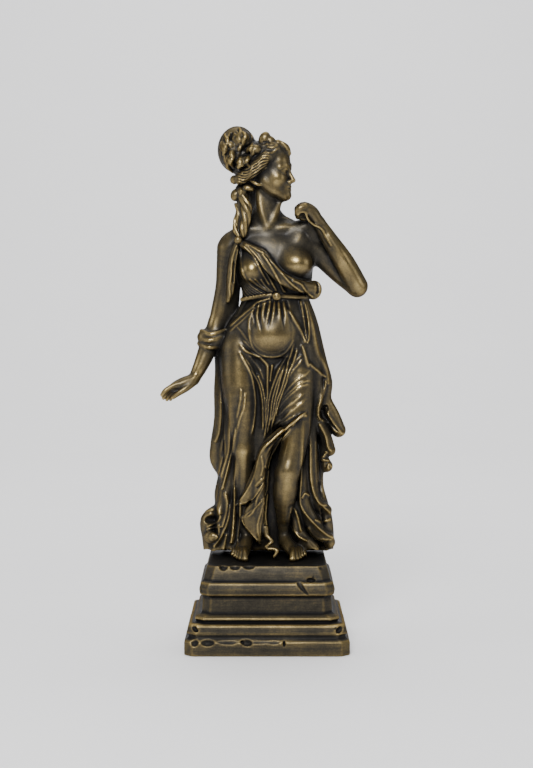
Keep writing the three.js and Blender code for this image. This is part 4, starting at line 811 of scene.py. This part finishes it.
def thick_folds(relief):
    """Crests, hollows and crisp edges of the mantle."""
    roll = dict(sharp=1.2, fade=(0.05, 0.1))
    relief.folds((
        (2.4, 2.8, [[4, 342], [-8, 338.5], [-15, 333], [-28, 322], [-38, 313]]),
        (2.2, 1.8, [[4, 339], [-8, 334.5], [-15, 329], [-27, 318], [-38, 308]]),
    ), **roll)
    scarf = dict(sharp=1.2, fade=(0.05, 0.12))
    relief.line([[49, 359], [51.4, 353], [50, 346]], 2.2, -2.4, **scarf)
    relief.lines(2.1, 2.8, (
        [[-23.9, 399], [-11.7, 393.5], [-2.2, 388.8], [4.5, 380], [12.7, 370.5], [22.1, 363.8], [34.3, 359.9],
         [45.8, 359.7]],
        [[-22, 397], [-9, 390], [0, 385], [7.2, 376], [15.4, 366.5], [23.5, 357], [32.9, 348.9], [37, 346.2]],
        [[-4.9, 386.8], [1.8, 377.3], [7.2, 367.8], [12.7, 357], [16.7, 348.9], [19.4, 348.2]],
        [[-22.5, 396.2], [-13, 386.8], [-6.3, 377.3], [0.5, 365.1], [7.2, 353], [10, 347.6]],
        [[-24, 394], [-15, 385], [-9, 376], [-3, 364], [3, 354]],
        [[26.2, 359.7], [34.3, 355.7], [39.7, 347.6], [46.5, 342.2]],
    ), **scarf)
    relief.lines(1.6, 1.5, (
        [[-30, 395], [-34.7, 381.4], [-35.6, 366.5], [-37.6, 354.3], [-36.5, 341]],
        [[-29.3, 392], [-30.6, 376], [-31.3, 362.4], [-34.7, 341]],
    ), **scarf)
    relief.line([[-33, 380], [-34, 368], [-34, 356]], 1.6, -2.4)

    left = dict(fade=(0.25, 0.06), sharp=1.4)
    relief.folds((
        (4, 3, [[-47, 256], [-46, 234.5], [-46.5, 218.5], [-48.4, 206], [-52.2, 197.5]]),
        (3.6, 4.4, [[-31, 214], [-33.2, 200], [-36.3, 184.7], [-41.4, 164.3], [-45.5, 150]]),
        (3.2, 4, [[-27, 140], [-27.1, 126.5], [-28, 110], [-29.5, 92]]),
        (3.6, 3.4, [[-43, 149], [-39.5, 138], [-41, 125], [-45, 112]]),
        (4, 4, [[-36, 142], [-39, 120], [-46, 103], [-54, 93]]),
        (3, 2.4, [[-42, 190], [-47, 172], [-48.5, 158]]),
        (3.6, 3, [[-50, 118], [-48, 108], [-50, 96]]),
        (3.4, 3.4, [[-40, 108], [-42, 98], [-43, 90]]),
    ), **left)
    relief.folds((
        (5, 5, [[-37, 250], [-37.6, 214], [-38.3, 190], [-44.4, 169.4], [-49.6, 149], [-50, 134.7],
                [-47, 124.5]]),
        (4, 5, [[-31.2, 182], [-32.4, 160], [-32.7, 134.7], [-34.2, 108.2], [-36.3, 96]]),
    ), lean=0.2, **left)
    relief.lines(2.4, 2.8, (
        [[-66, 125.5], [-60, 129.6], [-52, 130.6]],
        [[-61, 112.2], [-52.6, 116.3], [-48, 120.4], [-47, 124.5], [-51.6, 129.6]],
        [[-61, 110], [-52.6, 112.4], [-42.4, 113.4]],
    ), fade=(0.1, 0.1), sharp=1.2)

    right = dict(fade=(0.12, 0.06), sharp=1.3)
    relief.folds((
        (3, 3, [[20, 332], [33, 311], [39, 297.5]]),
        (2.2, 2.6, [[33, 340], [36, 326], [40, 300]]),
        (2.2, 2.6, [[38, 339], [41.4, 319], [42, 302], [40, 297]]),
        (4, 2.6, [[39, 340], [46, 316], [51, 290], [60, 270], [61, 255]]),
        (3, 3.4, [[35, 296], [41, 276], [43.3, 275.6], [50.4, 269.5], [59.6, 262.3]]),
        (2.8, 3.6, [[58.6, 233.8], [60.7, 225.6], [66.8, 216.4], [75, 206.2]]),
        (2.6, 3, [[54.5, 220.5], [61, 217], [68, 209], [78, 205.6]]),
    ), **right)
    relief.line(
        [[59.6, 262.3], [57.6, 251], [54.5, 240], [51.5, 231.7], [52, 223.6], [54.5, 220.5]],
        3.4, 4.4, lean=-0.2, **right,
    )
    relief.line([[51.5, 217.4], [58.6, 203.2], [60.7, 193], [64.7, 188]], 3.4, 3.4, lean=0.2, **right)
    relief.lines(2.4, 3, (
        [[59.6, 189], [57, 184], [52.5, 180.6], [63.7, 179.6]],
        [[65.8, 172.4], [62, 176], [60.7, 170.4]],
    ), fade=(0.1, 0.1), sharp=1.2)
    inner = [
        [36, 228], [36, 200], [34, 159], [33, 143], [34, 133.7], [40, 124.5], [50.4, 113.3], [60.6, 105],
        [67.8, 102],
    ]
    relief.line(inner, 3.2, 3.6, lean=-0.2, fade=(0.3, 0.05))
    outer = [
        [43.3, 236], [43.3, 200], [43.3, 169.4], [45.3, 152], [49.4, 140.8], [54.5, 134.7], [60.6, 134.7],
    ]
    relief.line(outer, 3.4, 4, lean=0.2, fade=(0.3, 0.08))
    relief.folds((
        (2.4, 3, [[34, 141], [38.2, 146.4], [43, 144]]),
        (3.4, 3, [[50, 200], [51, 176], [52, 158]]),
        (3, 3, [[50.4, 136.7], [56.6, 133], [66, 124]]),
        (2.6, 3, [[47.4, 120.4], [55.5, 118.4], [64, 121]]),
        (2.8, 3.4, [[26, 134], [22.4, 120.4], [26, 110], [32, 103], [40.3, 99]]),
        (2.4, 3, [[26.5, 132.7], [31, 122], [34, 108.2]]),
        (3, 3, [[40, 113], [46, 104], [56, 97]]),
        (2.2, 2.2, [[52, 100], [58, 100.4], [65, 100.6]]),
    ), **right)


def middle_folds(relief):
    """The edge rolled across the thigh, and the tongues of cloth that fall from it between the legs."""
    edge = dict(fade=(0.05, 0.05), sharp=1.1)
    relief.sheet([
        [39.6, 228], [33.7, 226], [26.9, 220.6], [18.5, 214], [10.1, 207.3], [3.4, 200.4], [-3.9, 195],
        [-9.4, 182.8], [-11.8, 171.7], [-15.8, 158.9], [-23, 146.2], [-31.3, 135.2], [-27.8, 133.9],
        [-18.2, 136.6], [-10.2, 144.6], [-2.3, 158.1], [-1.5, 170], [0.9, 184.4], [8.9, 197.2], [20.1, 210],
        [29.6, 217.9],
    ], 2.4)
    roll = [
        [40, 225], [34, 223], [27, 217.8], [18.5, 211], [10, 204.6], [3, 198], [-3, 192.8], [-7.6, 186],
        [-10.5, 177],
    ]
    relief.line(roll, 2.6, 3, fade=(0.05, 0.3), sharp=0.8)
    relief.lines(1.6, -2.4, (
        [[26, 214], [18, 207], [10, 200.6], [3, 194.4], [-3, 186]],
    ), sharp=1.0, fade=(0.1, 0.3))
    relief.sheet([
        [29.6, 217.9], [20.1, 206.8], [12.1, 195.6], [4.9, 182.8], [1.7, 170.9], [-2.7, 174.1], [0.9, 184.4],
        [8.9, 197.2], [20.1, 210],
    ], 3.2)
    relief.lines(1.7, 1.4, (
        [[29, 217], [19, 205], [11, 194], [4, 181.6], [1.2, 171.5], [-2.7, 174]],
        [[1.7, 170], [0.9, 160.5], [0.1, 150.9], [-2.3, 143]],
        [[-3.9, 194], [-9.4, 182.8], [-11.8, 171.7], [-15.8, 158.9], [-23, 146.2], [-31.3, 135.8]],
        [[-31, 135.4], [-18.2, 138], [-10.2, 145.4], [-2.3, 158.8]],
        [[-12, 154], [-7, 158.9], [-2.3, 162.6]],
        [[-6, 184], [-4, 174], [-6, 164]],
    ), **edge)
    relief.line([[-10, 151.6], [-5, 156], [-1.6, 160]], 1.3, -1.6, **edge)
    relief.sheet([
        [-2.3, 157.3], [-1.5, 144.6], [-9.4, 135], [-16.6, 124.6], [-27, 122.2], [-30.2, 133.4],
        [-18.2, 135], [-10.2, 143],
    ], 1.4)
    relief.sheet([
        [-2.3, 143], [-13.4, 131], [-19.8, 123.4], [-26.2, 121.8], [-20.6, 111.1], [-7, 95.9],
        [-5.4, 112.7], [-1.5, 136.6],
    ], 2.8)
    relief.sheet([[-1.5, 143], [-3.9, 106.3], [1.7, 105.5], [-0.5, 123.8], [1.2, 146.2]], 2.4)
    relief.lines(1.7, 1.6, (
        [[-2.3, 155.7], [-9.4, 143], [-11.8, 133.4], [-16.6, 125.2], [-26.2, 122.8]],
        [[-2.3, 143], [-13.4, 130.6], [-26.2, 121.6]],
        [[-26.2, 121.4], [-20.6, 111.1], [-7, 96.2]],
        [[-2.3, 143], [-5.4, 128.6], [-9.4, 114.3], [-7.4, 97]],
        [[-2, 141.4], [-3.7, 124], [-3.9, 106.6]],
        [[0.8, 146], [-0.7, 123.8], [1.6, 106]],
    ), **edge)


def back_folds(relief):
    """Pleats down the back, swags below the hips and uneven long folds down to the hem."""
    relief.fan([[-20, 392], [-16, 366], [-12, 345]], [[34, 388], [28, 366], [24, 345]], 8, 3.4, 2)
    gathers = [[-18, 342], [-26, 326], [-34, 300]], [[36, 342], [42, 326], [46, 300]]
    relief.fan(*gathers, 9, 3, 2.2, fade=(0.1, 0.7))
    swags = (
        [[-42, 300], [-22, 278], [6, 268], [34, 278], [50, 300]],
        [[-44, 262], [-24, 234], [6, 222], [36, 234], [52, 258]],
    )
    rows = ((0, 5, 5), (0.17, 3.6, 3), (0.38, 5.4, 5), (0.6, 4, 3.2), (0.74, 5, 4.4), (1, 6, 5))
    for share, width, height in rows:
        relief.line(mix(*swags, share), width, height)
    first = [[-40, 262], [-42, 222], [-44, 180], [-49, 132], [-54, 86]]
    last = [[46, 262], [48, 222], [50, 180], [55, 132], [60, 86]]
    rng = np.random.default_rng(12)
    for share in (0, 0.08, 0.2, 0.28, 0.36, 0.49, 0.56, 0.68, 0.75, 0.88, 0.95, 1):
        sway = np.stack([rng.uniform(-2.4, 2.4, 5), rng.uniform(-4, 4, 5)], 1)
        sway[-1, 1] = 0
        fade = (rng.uniform(0.1, 0.4), 0.02)
        relief.line(mix(first, last, share) + sway, rng.uniform(4.6, 7), rng.uniform(3.4, 6.4), fade=fade)


def sculpt_figure():
    clay = Clay(*FIGURE_SPACE, CELL)
    body(clay)
    dress(clay)
    mantle(clay)
    front, back = clay.relief(), clay.relief()
    belly_folds(front)
    thin_folds(front)
    thick_folds(front)
    middle_folds(front)
    clay.press(front, 1)
    back_folds(back)
    clay.press(back, -1, 14)
    x, y, z = clay.space.grids
    hem = HEM_HEIGHT + 0.6 * np.sin(0.29 * x + 1) + 0.4 * np.sin(0.61 * x)
    clay.field = np.maximum(clay.field, np.minimum(hem - z, HEM_BACK - y).astype(np.float32))
    foot(clay, -20.5, -22, -1)
    foot(clay, 17, 25.5, 1)
    tail(clay)
    arms(clay)
    head(clay)
    hair(clay)
    seat = (PLINTH_STEPS + SEAT_GAP) - true_place(x, y, z)[2]
    clay.field = np.maximum(clay.field, seat.astype(np.float32))
    return clay


# The plinth


PLINTH_ROWS = (  # [height, half width, half depth], in steps
    (0, 80.1, 80),
    (13.6, 80.1, 80),
    (14.8, 78.5, 78.5),
    (16.8, 76.1, 76),
    (19.7, 75.9, 75.8),
    (20.6, 77.6, 77.2),
    (28.4, 76, 75.8),
    (29.8, 74.6, 74.4),
    (30.7, 68.5, 68),
    (32.1, 68.5, 68),
    (33.2, 70.1, 69.4),
    (35.4, 70.1, 69.4),
    (36.2, 67.5, 67),
    (37.6, 66.8, 66.4),
    (38.6, 63.4, 63.4),
    (55.3, 62.4, 63),
    (56.6, 65, 67),
    (62.5, 66, 67.6),
    (68.6, 64.2, 66),
    (69.8, 62, 62),
    (77.3, 60, 60.4),
    (84.4, 58.2, 58.2),
)
CORNER_CUT = 8
DIAGONAL = 0.7071  # the sine of 45 degrees
ROUNDED_FROM = 6  # the edges are softened this close to the surface, in steps


def sculpt_plinth():
    clay = Clay(*PLINTH_SPACE, CELL)
    x, y, z = clay.space.grids
    heights, half, deep = np.array(PLINTH_ROWS).T
    wide, deep = np.interp(z, heights, half), np.interp(z, heights, deep)
    across = np.maximum(np.abs(x) - wide, np.abs(y) - deep)
    corner = (np.abs(x) + np.abs(y) - (wide + deep - CORNER_CUT)) * DIAGONAL
    side = np.maximum(across, corner)
    field = np.maximum(side, np.maximum(-z, z - PLINTH_STEPS))
    clay.field = box_blur(np.clip(field, -ROUNDED_FROM, ROUNDED_FROM).astype(np.float32), 1)
    flat = np.broadcast_to(np.maximum(-z, z - PLINTH_STEPS), field.shape) - 0.15
    clay.field = np.maximum(clay.field, flat).astype(np.float32)
    damage(clay)
    return clay


def damage(clay):
    """Breaks along the edges, a crack across the upper tiers and pitted corners."""
    breaks = [  # centre, radii, tilt
        ((-42.2, -60, 84.6), (4.8, 5.4, 4.8), 0),  # scoops along the top edge
        ((-31.2, -60, 84.2), (5.6, 5, 3.8), 0),
        ((-17.6, -59.6, 84.8), (6.2, 5.4, 3.8), 0),
        ((55, -59.6, 83), (5, 4, 3.4), 0),
        ((-60, -62, 79), (8, 6, 11), 14),  # corner of the top block
        ((42.5, -62, 71), (4.4, 3, 2.4), 0),  # hole at the foot of the crack
        ((-44, -68, 69), (3, 2, 1.5), 0),
        ((-10, -68, 56), (3, 2, 1.2), 0),
        ((-66, -64, 60), (3.4, 4, 6), 12),
        ((-60.5, -62.5, 50), (2.6, 3.4, 5), 10),  # corners of the straight part
        ((-61, -62.5, 42), (3, 3, 3.4), -20),
        ((60, -62.5, 51), (3, 3.4, 4), -15),
        ((60.6, -62.5, 43), (2.6, 3, 4), 10),
        ((-71, -74.6, 27), (6.4, 4, 2.6), 38),  # ends of the moulding
        ((71, -74.6, 26), (6.4, 4, 3), -38),
        ((-70, -80.4, 14), (4.6, 4.4, 4.4), 0),  # scoops along the slab's edge
        ((-57, -80.6, 14), (7, 4.4, 4.2), 0),
        ((-19.5, -80.4, 14), (6, 4.4, 4), 8),
        ((16.4, -80.6, 13.4), (1.6, 3.6, 4), 0),
    ]
    rng = np.random.default_rng(8)
    for centre, radii, tilt in breaks:
        clay.carve(Blob(centre, radii, tilt), 0.5)
        for _ in range(2):  # uneven rims
            aside = np.array(centre) + rng.uniform(-0.8, 0.8, 3) * radii
            size = np.multiply(radii, rng.uniform(0.25, 0.5, 3))
            clay.carve(Blob(aside, size, tilt + rng.uniform(-40, 40)), 0.4)
    worn = [[-47, 15.2], [-42, 14.4], [-34, 14.2], [-27, 15.4], [-12, 14.6], [0, 14.8], [8, 14.2], [15, 16]]
    path = [[x, -81.4, z + 0.6] for x, z in worn]
    clay.carve(Limb(path, [3, 3.4, 3.6, 3.2, 3.4, 3.2, 3.4, 2.6]), 0.6)
    clay.carve(Limb([[46, -61.4, 79], [45, -61.6, 75], [44, -62, 72]], [0.7, 1, 1.6]), 0.4)
    crack = [[31, -66, 70.5], [33, -67.4, 66], [36.6, -67.8, 61], [40.4, -67.6, 56]]
    clay.carve(Limb(crack, [3.4, 2.6, 1.7, 1.2]), 0.4)


# From the field to a mesh


def sample(values, clay, places):
    """Values of a grid at places, between its cells."""
    low = np.array([axis[0] for axis in clay.space.axes])
    at = (places - low) / clay.cell
    base = np.clip(np.floor(at).astype(int), 0, np.array(values.shape) - 2)
    t = np.clip(at - base, 0, 1)
    total = 0
    for corner in np.ndindex(2, 2, 2):
        index = base + corner
        weight = np.prod(np.where(corner, t, 1 - t), axis=1)
        total = total + weight * values[index[:, 0], index[:, 1], index[:, 2]]
    return total


def add_measure(mesh, name, values):
    mesh.attributes.new(name, "FLOAT", "POINT").data.foreach_set("value", values.astype(np.float32))


def mesh_from(clay, name, triangles, place, polish_and_highlight=()):
    grid = openvdb.FloatGrid(BAND)
    grid.copyFromArray(np.clip(clay.field / clay.cell, -BAND, BAND).astype(np.float32))
    points, _, quads = grid.convertToPolygons(isovalue=0.0, adaptivity=0.0)
    low = np.array([axis[0] for axis in clay.space.axes])
    points = low + points * clay.cell
    mesh = bpy.data.meshes.new(name)
    mesh.from_pydata(points.tolist(), [], quads[:, ::-1].tolist())
    piece = bpy.data.objects.new(name, mesh)
    bpy.context.scene.collection.objects.link(piece)
    keep_largest(piece)
    count = 2 * len(mesh.polygons)
    if count > triangles:
        thin = piece.modifiers.new("thin", "DECIMATE")
        thin.ratio = triangles / count
        shaped = piece.evaluated_get(bpy.context.evaluated_depsgraph_get())
        shaped = bpy.data.meshes.new_from_object(shaped)
        piece.modifiers.clear()
        piece.data = mesh = shaped
        mesh.name = name
    drawn = np.empty(len(mesh.vertices) * 3, np.float32)
    mesh.vertices.foreach_get("co", drawn)
    drawn = drawn.reshape(-1, 3).astype(float)
    local = np.clip(clay.field, -WEAR_DEPTH, WEAR_DEPTH)
    surface = sample(local, clay, drawn)
    for attribute, reach in WEAR_REACH.items():
        blurred = box_blur(local, max(1, round(reach / clay.cell)))
        add_measure(mesh, attribute, sample(blurred, clay, drawn) - surface)
    x, y, z = drawn.T
    # Polish on the listed spots, which the finish also paints lighter gold as a painted highlight, on front
    # faces only.
    polish_and_highlight_share = np.zeros(len(drawn))
    for middle, height, wide, high in polish_and_highlight:
        away = ((x - middle) / wide) ** 2 + ((z - height) / high) ** 2
        polish_and_highlight_share = np.maximum(polish_and_highlight_share, np.exp(-away) * smooth_step((6 - y) / 12))
    add_measure(mesh, "polish_and_highlight", polish_and_highlight_share)
    true = np.stack(place(*drawn.T), 1) * STEP
    low, high = (np.array(corner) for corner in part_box(name.removeprefix("carved_")))
    mesh.vertices.foreach_set("co", np.clip(true, low, high).astype(np.float32).ravel())
    mesh.shade_smooth()
    mesh.update()
    return piece


def keep_largest(piece):
    """Deletes loose crumbs."""
    mesh = piece.data
    count = len(mesh.vertices)
    ends = np.empty(len(mesh.edges) * 2, np.int64)
    mesh.edges.foreach_get("vertices", ends)
    a, b = ends.reshape(-1, 2).T
    label = np.arange(count)
    while True:
        lowest = label.copy()
        np.minimum.at(lowest, a, label[b])
        np.minimum.at(lowest, b, label[a])
        lowest = lowest[lowest]
        if (lowest == label).all():
            break
        label = lowest
    main = np.bincount(label, minlength=count).argmax()
    if (label != main).any():
        form = bmesh.new()
        form.from_mesh(mesh)
        spare = [v for v, l in zip(form.verts, label) if l != main]
        bmesh.ops.delete(form, geom=spare, context="VERTS")
        form.to_mesh(mesh)
        form.free()


# The finish


class Nodes:
    """A short way to build a material's node tree."""

    def __init__(self, name):
        self.material = bpy.data.materials.new(name)
        self.material.use_nodes = True
        self.tree = self.material.node_tree
        self.shader = self.tree.nodes["Principled BSDF"]

    def add(self, kind, inputs=None, **settings):
        node = self.tree.nodes.new(kind)
        for key, value in settings.items():
            setattr(node, key, value)
        for key, value in (inputs or {}).items():
            self.set(node.inputs[key], value)
        return node

    def set(self, socket, value):
        if isinstance(value, bpy.types.NodeSocket):
            self.tree.links.new(value, socket)
        else:
            socket.default_value = value

    def math(self, operation, *values, clamp=False):
        inputs = dict(enumerate(values))
        return self.add("ShaderNodeMath", inputs, operation=operation, use_clamp=clamp).outputs[0]

    def noise(self, scale, detail=3.0, place=None):
        inputs = {"Scale": scale, "Detail": detail, "Vector": place or self.object_place}
        return self.add("ShaderNodeTexNoise", inputs).outputs["Fac"]

    @property
    def object_place(self):
        return self.add("ShaderNodeTexCoord").outputs["Object"]

    def attribute(self, name):
        return self.add("ShaderNodeAttribute", attribute_name=name).outputs["Fac"]

    def ramp(self, share, stops):
        node = self.add("ShaderNodeValToRGB", {"Fac": share})
        elements = node.color_ramp.elements
        while len(elements) < len(stops):
            elements.new(0.5)
        for element, (position, color) in zip(elements, stops):
            element.position, element.color = position, (*color, 1)
        return node.outputs["Color"]


PATINA = (  # from the hollows to what is rubbed bare
    (0.0, (0.0045, 0.0043, 0.0042)),
    (0.22, (0.015, 0.0138, 0.0118)),
    (0.42, (0.042, 0.0365, 0.026)),
    (0.62, (0.11, 0.084, 0.041)),
    (0.8, (0.24, 0.178, 0.076)),
    (1.0, (0.5, 0.37, 0.16)),
)
MOTTLING = ((60, 4, 0.34), (260, 3, 0.2), (1100, 2, 0.24))  # scale, detail and amount
PAPER = (0.88, 0.875, 0.88)


def bronze(name, gains, ground, gloss, streaks_and_top_shade=False):
    """Dark olive patina in the hollows, rubbed to gold on what stands out; polished spots painted lighter as
    painted highlight, and the plinth's top painted darker as painted shade with its patina; gains weigh the
    three reaches.
    """
    n = Nodes(name)
    # Polished spots: glossier, and painted lighter gold as a painted highlight where the front light falls.
    polish_and_highlight = n.attribute("polish_and_highlight")
    share = n.math("ADD", ground, n.math("MULTIPLY", polish_and_highlight, 0.26))
    for attribute, gain in zip(WEAR_REACH, gains):
        wear = n.attribute(attribute)
        limited = n.math("DIVIDE", wear, n.math("ADD", n.math("ABSOLUTE", wear), 1))
        share = n.math("ADD", share, n.math("MULTIPLY", limited, gain))
    for scale, detail, amount in MOTTLING:
        uneven = n.math("SUBTRACT", n.noise(scale, detail), 0.5)
        share = n.math("ADD", share, n.math("MULTIPLY", uneven, amount))
    if streaks_and_top_shade:
        streaks = n.add("ShaderNodeMapping", {"Vector": n.object_place, "Scale": (1, 1, 24)}).outputs[0]
        brushed = n.math("MULTIPLY", n.math("SUBTRACT", n.noise(90, 4, streaks), 0.5), 0.3)
        share = n.math("ADD", share, brushed)
        # The top face is painted darker: black patina there plus painted shade under the figure.
        height = n.add("ShaderNodeSeparateXYZ", {"Vector": n.object_place}).outputs["Z"]
        top = n.math("GREATER_THAN", height, PLINTH_TOP - 0.25 * STEP)
        share = n.math("SUBTRACT", share, n.math("MULTIPLY", top, 0.3))
    share = n.math("ADD", share, 0, clamp=True)
    n.set(n.shader.inputs["Base Color"], n.ramp(share, PATINA))
    n.set(n.shader.inputs["Metallic"], n.math("ADD", 0.3, n.math("MULTIPLY", share, 0.9), clamp=True))
    uneven = n.math("MULTIPLY", n.math("SUBTRACT", n.noise(180, 3), 0.5), 0.18)
    polished = n.math("ADD", n.math("MULTIPLY", share, 0.08), n.math("MULTIPLY", polish_and_highlight, 0.1))
    rough = n.math("ADD", n.math("SUBTRACT", 0.55 - 1.1 * gloss, polished), uneven)
    n.set(n.shader.inputs["Roughness"], rough)
    if gloss:
        n.set(n.shader.inputs["Coat Weight"], n.math("MULTIPLY", n.math("ADD", polish_and_highlight, 0.4), gloss))
    n.shader.inputs["Coat Roughness"].default_value = 0.22
    n.shader.inputs["Specular Tint"].default_value = (0.2, 0.2, 0.22, 1)
    bump = n.add("ShaderNodeBump", {"Strength": 0.15, "Distance": 0.0002, "Height": n.noise(1400, 2)})
    n.set(n.shader.inputs["Normal"], bump.outputs[0])
    return n.material


def paint(name, color, roughness):
    n = Nodes(name)
    n.shader.inputs["Roughness"].default_value = roughness
    tint = n.ramp(n.noise(6, 2), [(0.3, tuple(c * 0.985 for c in color)), (0.7, color)])
    n.set(n.shader.inputs["Base Color"], tint)
    return n.material


# The room


FLOOR_FRONT, FLOOR_BACK, CURVE_RADIUS = -3.0, 1.2, 1.2  # in metres
BACKDROP_HEIGHT, BACKDROP_HALF = 5.0, 5.0
CURVE_PIECES = 16


def stage():
    """A pale floor that curves up into a backdrop."""
    profile = [(FLOOR_FRONT, 0.0), (FLOOR_BACK, 0.0)]
    for i in range(1, CURVE_PIECES + 1):
        angle = i / CURVE_PIECES * math.pi / 2
        rise = CURVE_RADIUS * (1 - math.cos(angle))
        profile.append((FLOOR_BACK + CURVE_RADIUS * math.sin(angle), rise))
    profile.append((FLOOR_BACK + CURVE_RADIUS, BACKDROP_HEIGHT))
    verts = [(x, y, z) for y, z in profile for x in (-BACKDROP_HALF, BACKDROP_HALF)]
    faces = [(2 * i, 2 * i + 1, 2 * i + 3, 2 * i + 2) for i in range(len(profile) - 1)]
    mesh = bpy.data.meshes.new("backdrop")
    mesh.from_pydata(verts, [], faces)
    mesh.shade_smooth()
    mesh.materials.append(paint("pale_paper", PAPER, 0.7))
    floor = bpy.data.objects.new("backdrop", mesh)
    bpy.context.scene.collection.objects.link(floor)


def lamp(name, place, aim, size, power):
    light = bpy.data.lights.new(name, "AREA")
    light.shape, light.size, light.energy = "SQUARE", size, power
    holder = bpy.data.objects.new(name, light)
    holder.location = place
    holder.rotation_euler = (Vector(aim) - Vector(place)).to_track_quat("-Z", "Y").to_euler()
    bpy.context.scene.collection.objects.link(holder)


MIDDLE = (0, 0, 0.18)
LAMPS = (  # name, place, what it is aimed at, size and power
    ("key", (-0.12, -1.0, 0.85), MIDDLE, 0.4, 19),
    ("left", (-1.0, -0.2, 0.45), MIDDLE, 0.6, 2.5),
    ("right", (1.0, -0.3, 0.5), MIDDLE, 0.6, 2.5),
    ("top", (0.1, 0.2, 1.5), MIDDLE, 0.9, 6),
    ("backdrop", (0, 0.9, 1.9), (0, 2.3, 0.7), 1.8, 52),
)


def lights():
    for row in LAMPS:
        lamp(*row)
    world = bpy.data.worlds.new("room")
    world.use_nodes = True
    world.node_tree.nodes["Background"].inputs["Color"].default_value = (0.85, 0.87, 0.9, 1)
    world.node_tree.nodes["Background"].inputs["Strength"].default_value = 0.3
    bpy.context.scene.world = world


PICTURE_STEPS = 768  # the picture's long side at the plinth's middle
PICTURE_ASIDE = -0.5  # the picture's middle lies this far to the side of the plinth's, in steps
SENSOR = 36  # in millimetres


def camera():
    """At the photograph's place."""
    lens = bpy.data.cameras.new("camera")
    lens.sensor_width = SENSOR
    aside = PICTURE_ASIDE * STEP
    eye = Vector((aside, -EYE_DISTANCE * STEP, EYE_HEIGHT * STEP))
    aim = Vector((aside, 0, AIM_HEIGHT * STEP))
    lens.lens = SENSOR * (aim - eye).length / (PICTURE_STEPS * STEP)
    lens.clip_start = 0.05
    holder = bpy.data.objects.new("camera", lens)
    holder.location = eye
    holder.rotation_euler = (aim - eye).to_track_quat("-Z", "Y").to_euler()
    bpy.context.scene.collection.objects.link(holder)
    bpy.context.scene.camera = holder


# The scene


figure = mesh_from(sculpt_figure(), "carved_figure", FIGURE_TRIANGLES, true_place, POLISH_AND_HIGHLIGHT_SPOTS)
plinth = mesh_from(sculpt_plinth(), "carved_plinth", PLINTH_TRIANGLES, lambda x, y, z: (x, y, z))
for piece, node, finish in (
    (figure, "figure", bronze("figure_bronze", (0.62, 0.18, 0.12), 0.4, 0.1)),
    (plinth, "plinth", bronze("plinth_bronze", (0.95, 0.08, 0), 0.38, 0, True)),
):
    piece.data.materials.append(finish)
    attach(piece, "root")
    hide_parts(node)

stage()
lights()
camera()
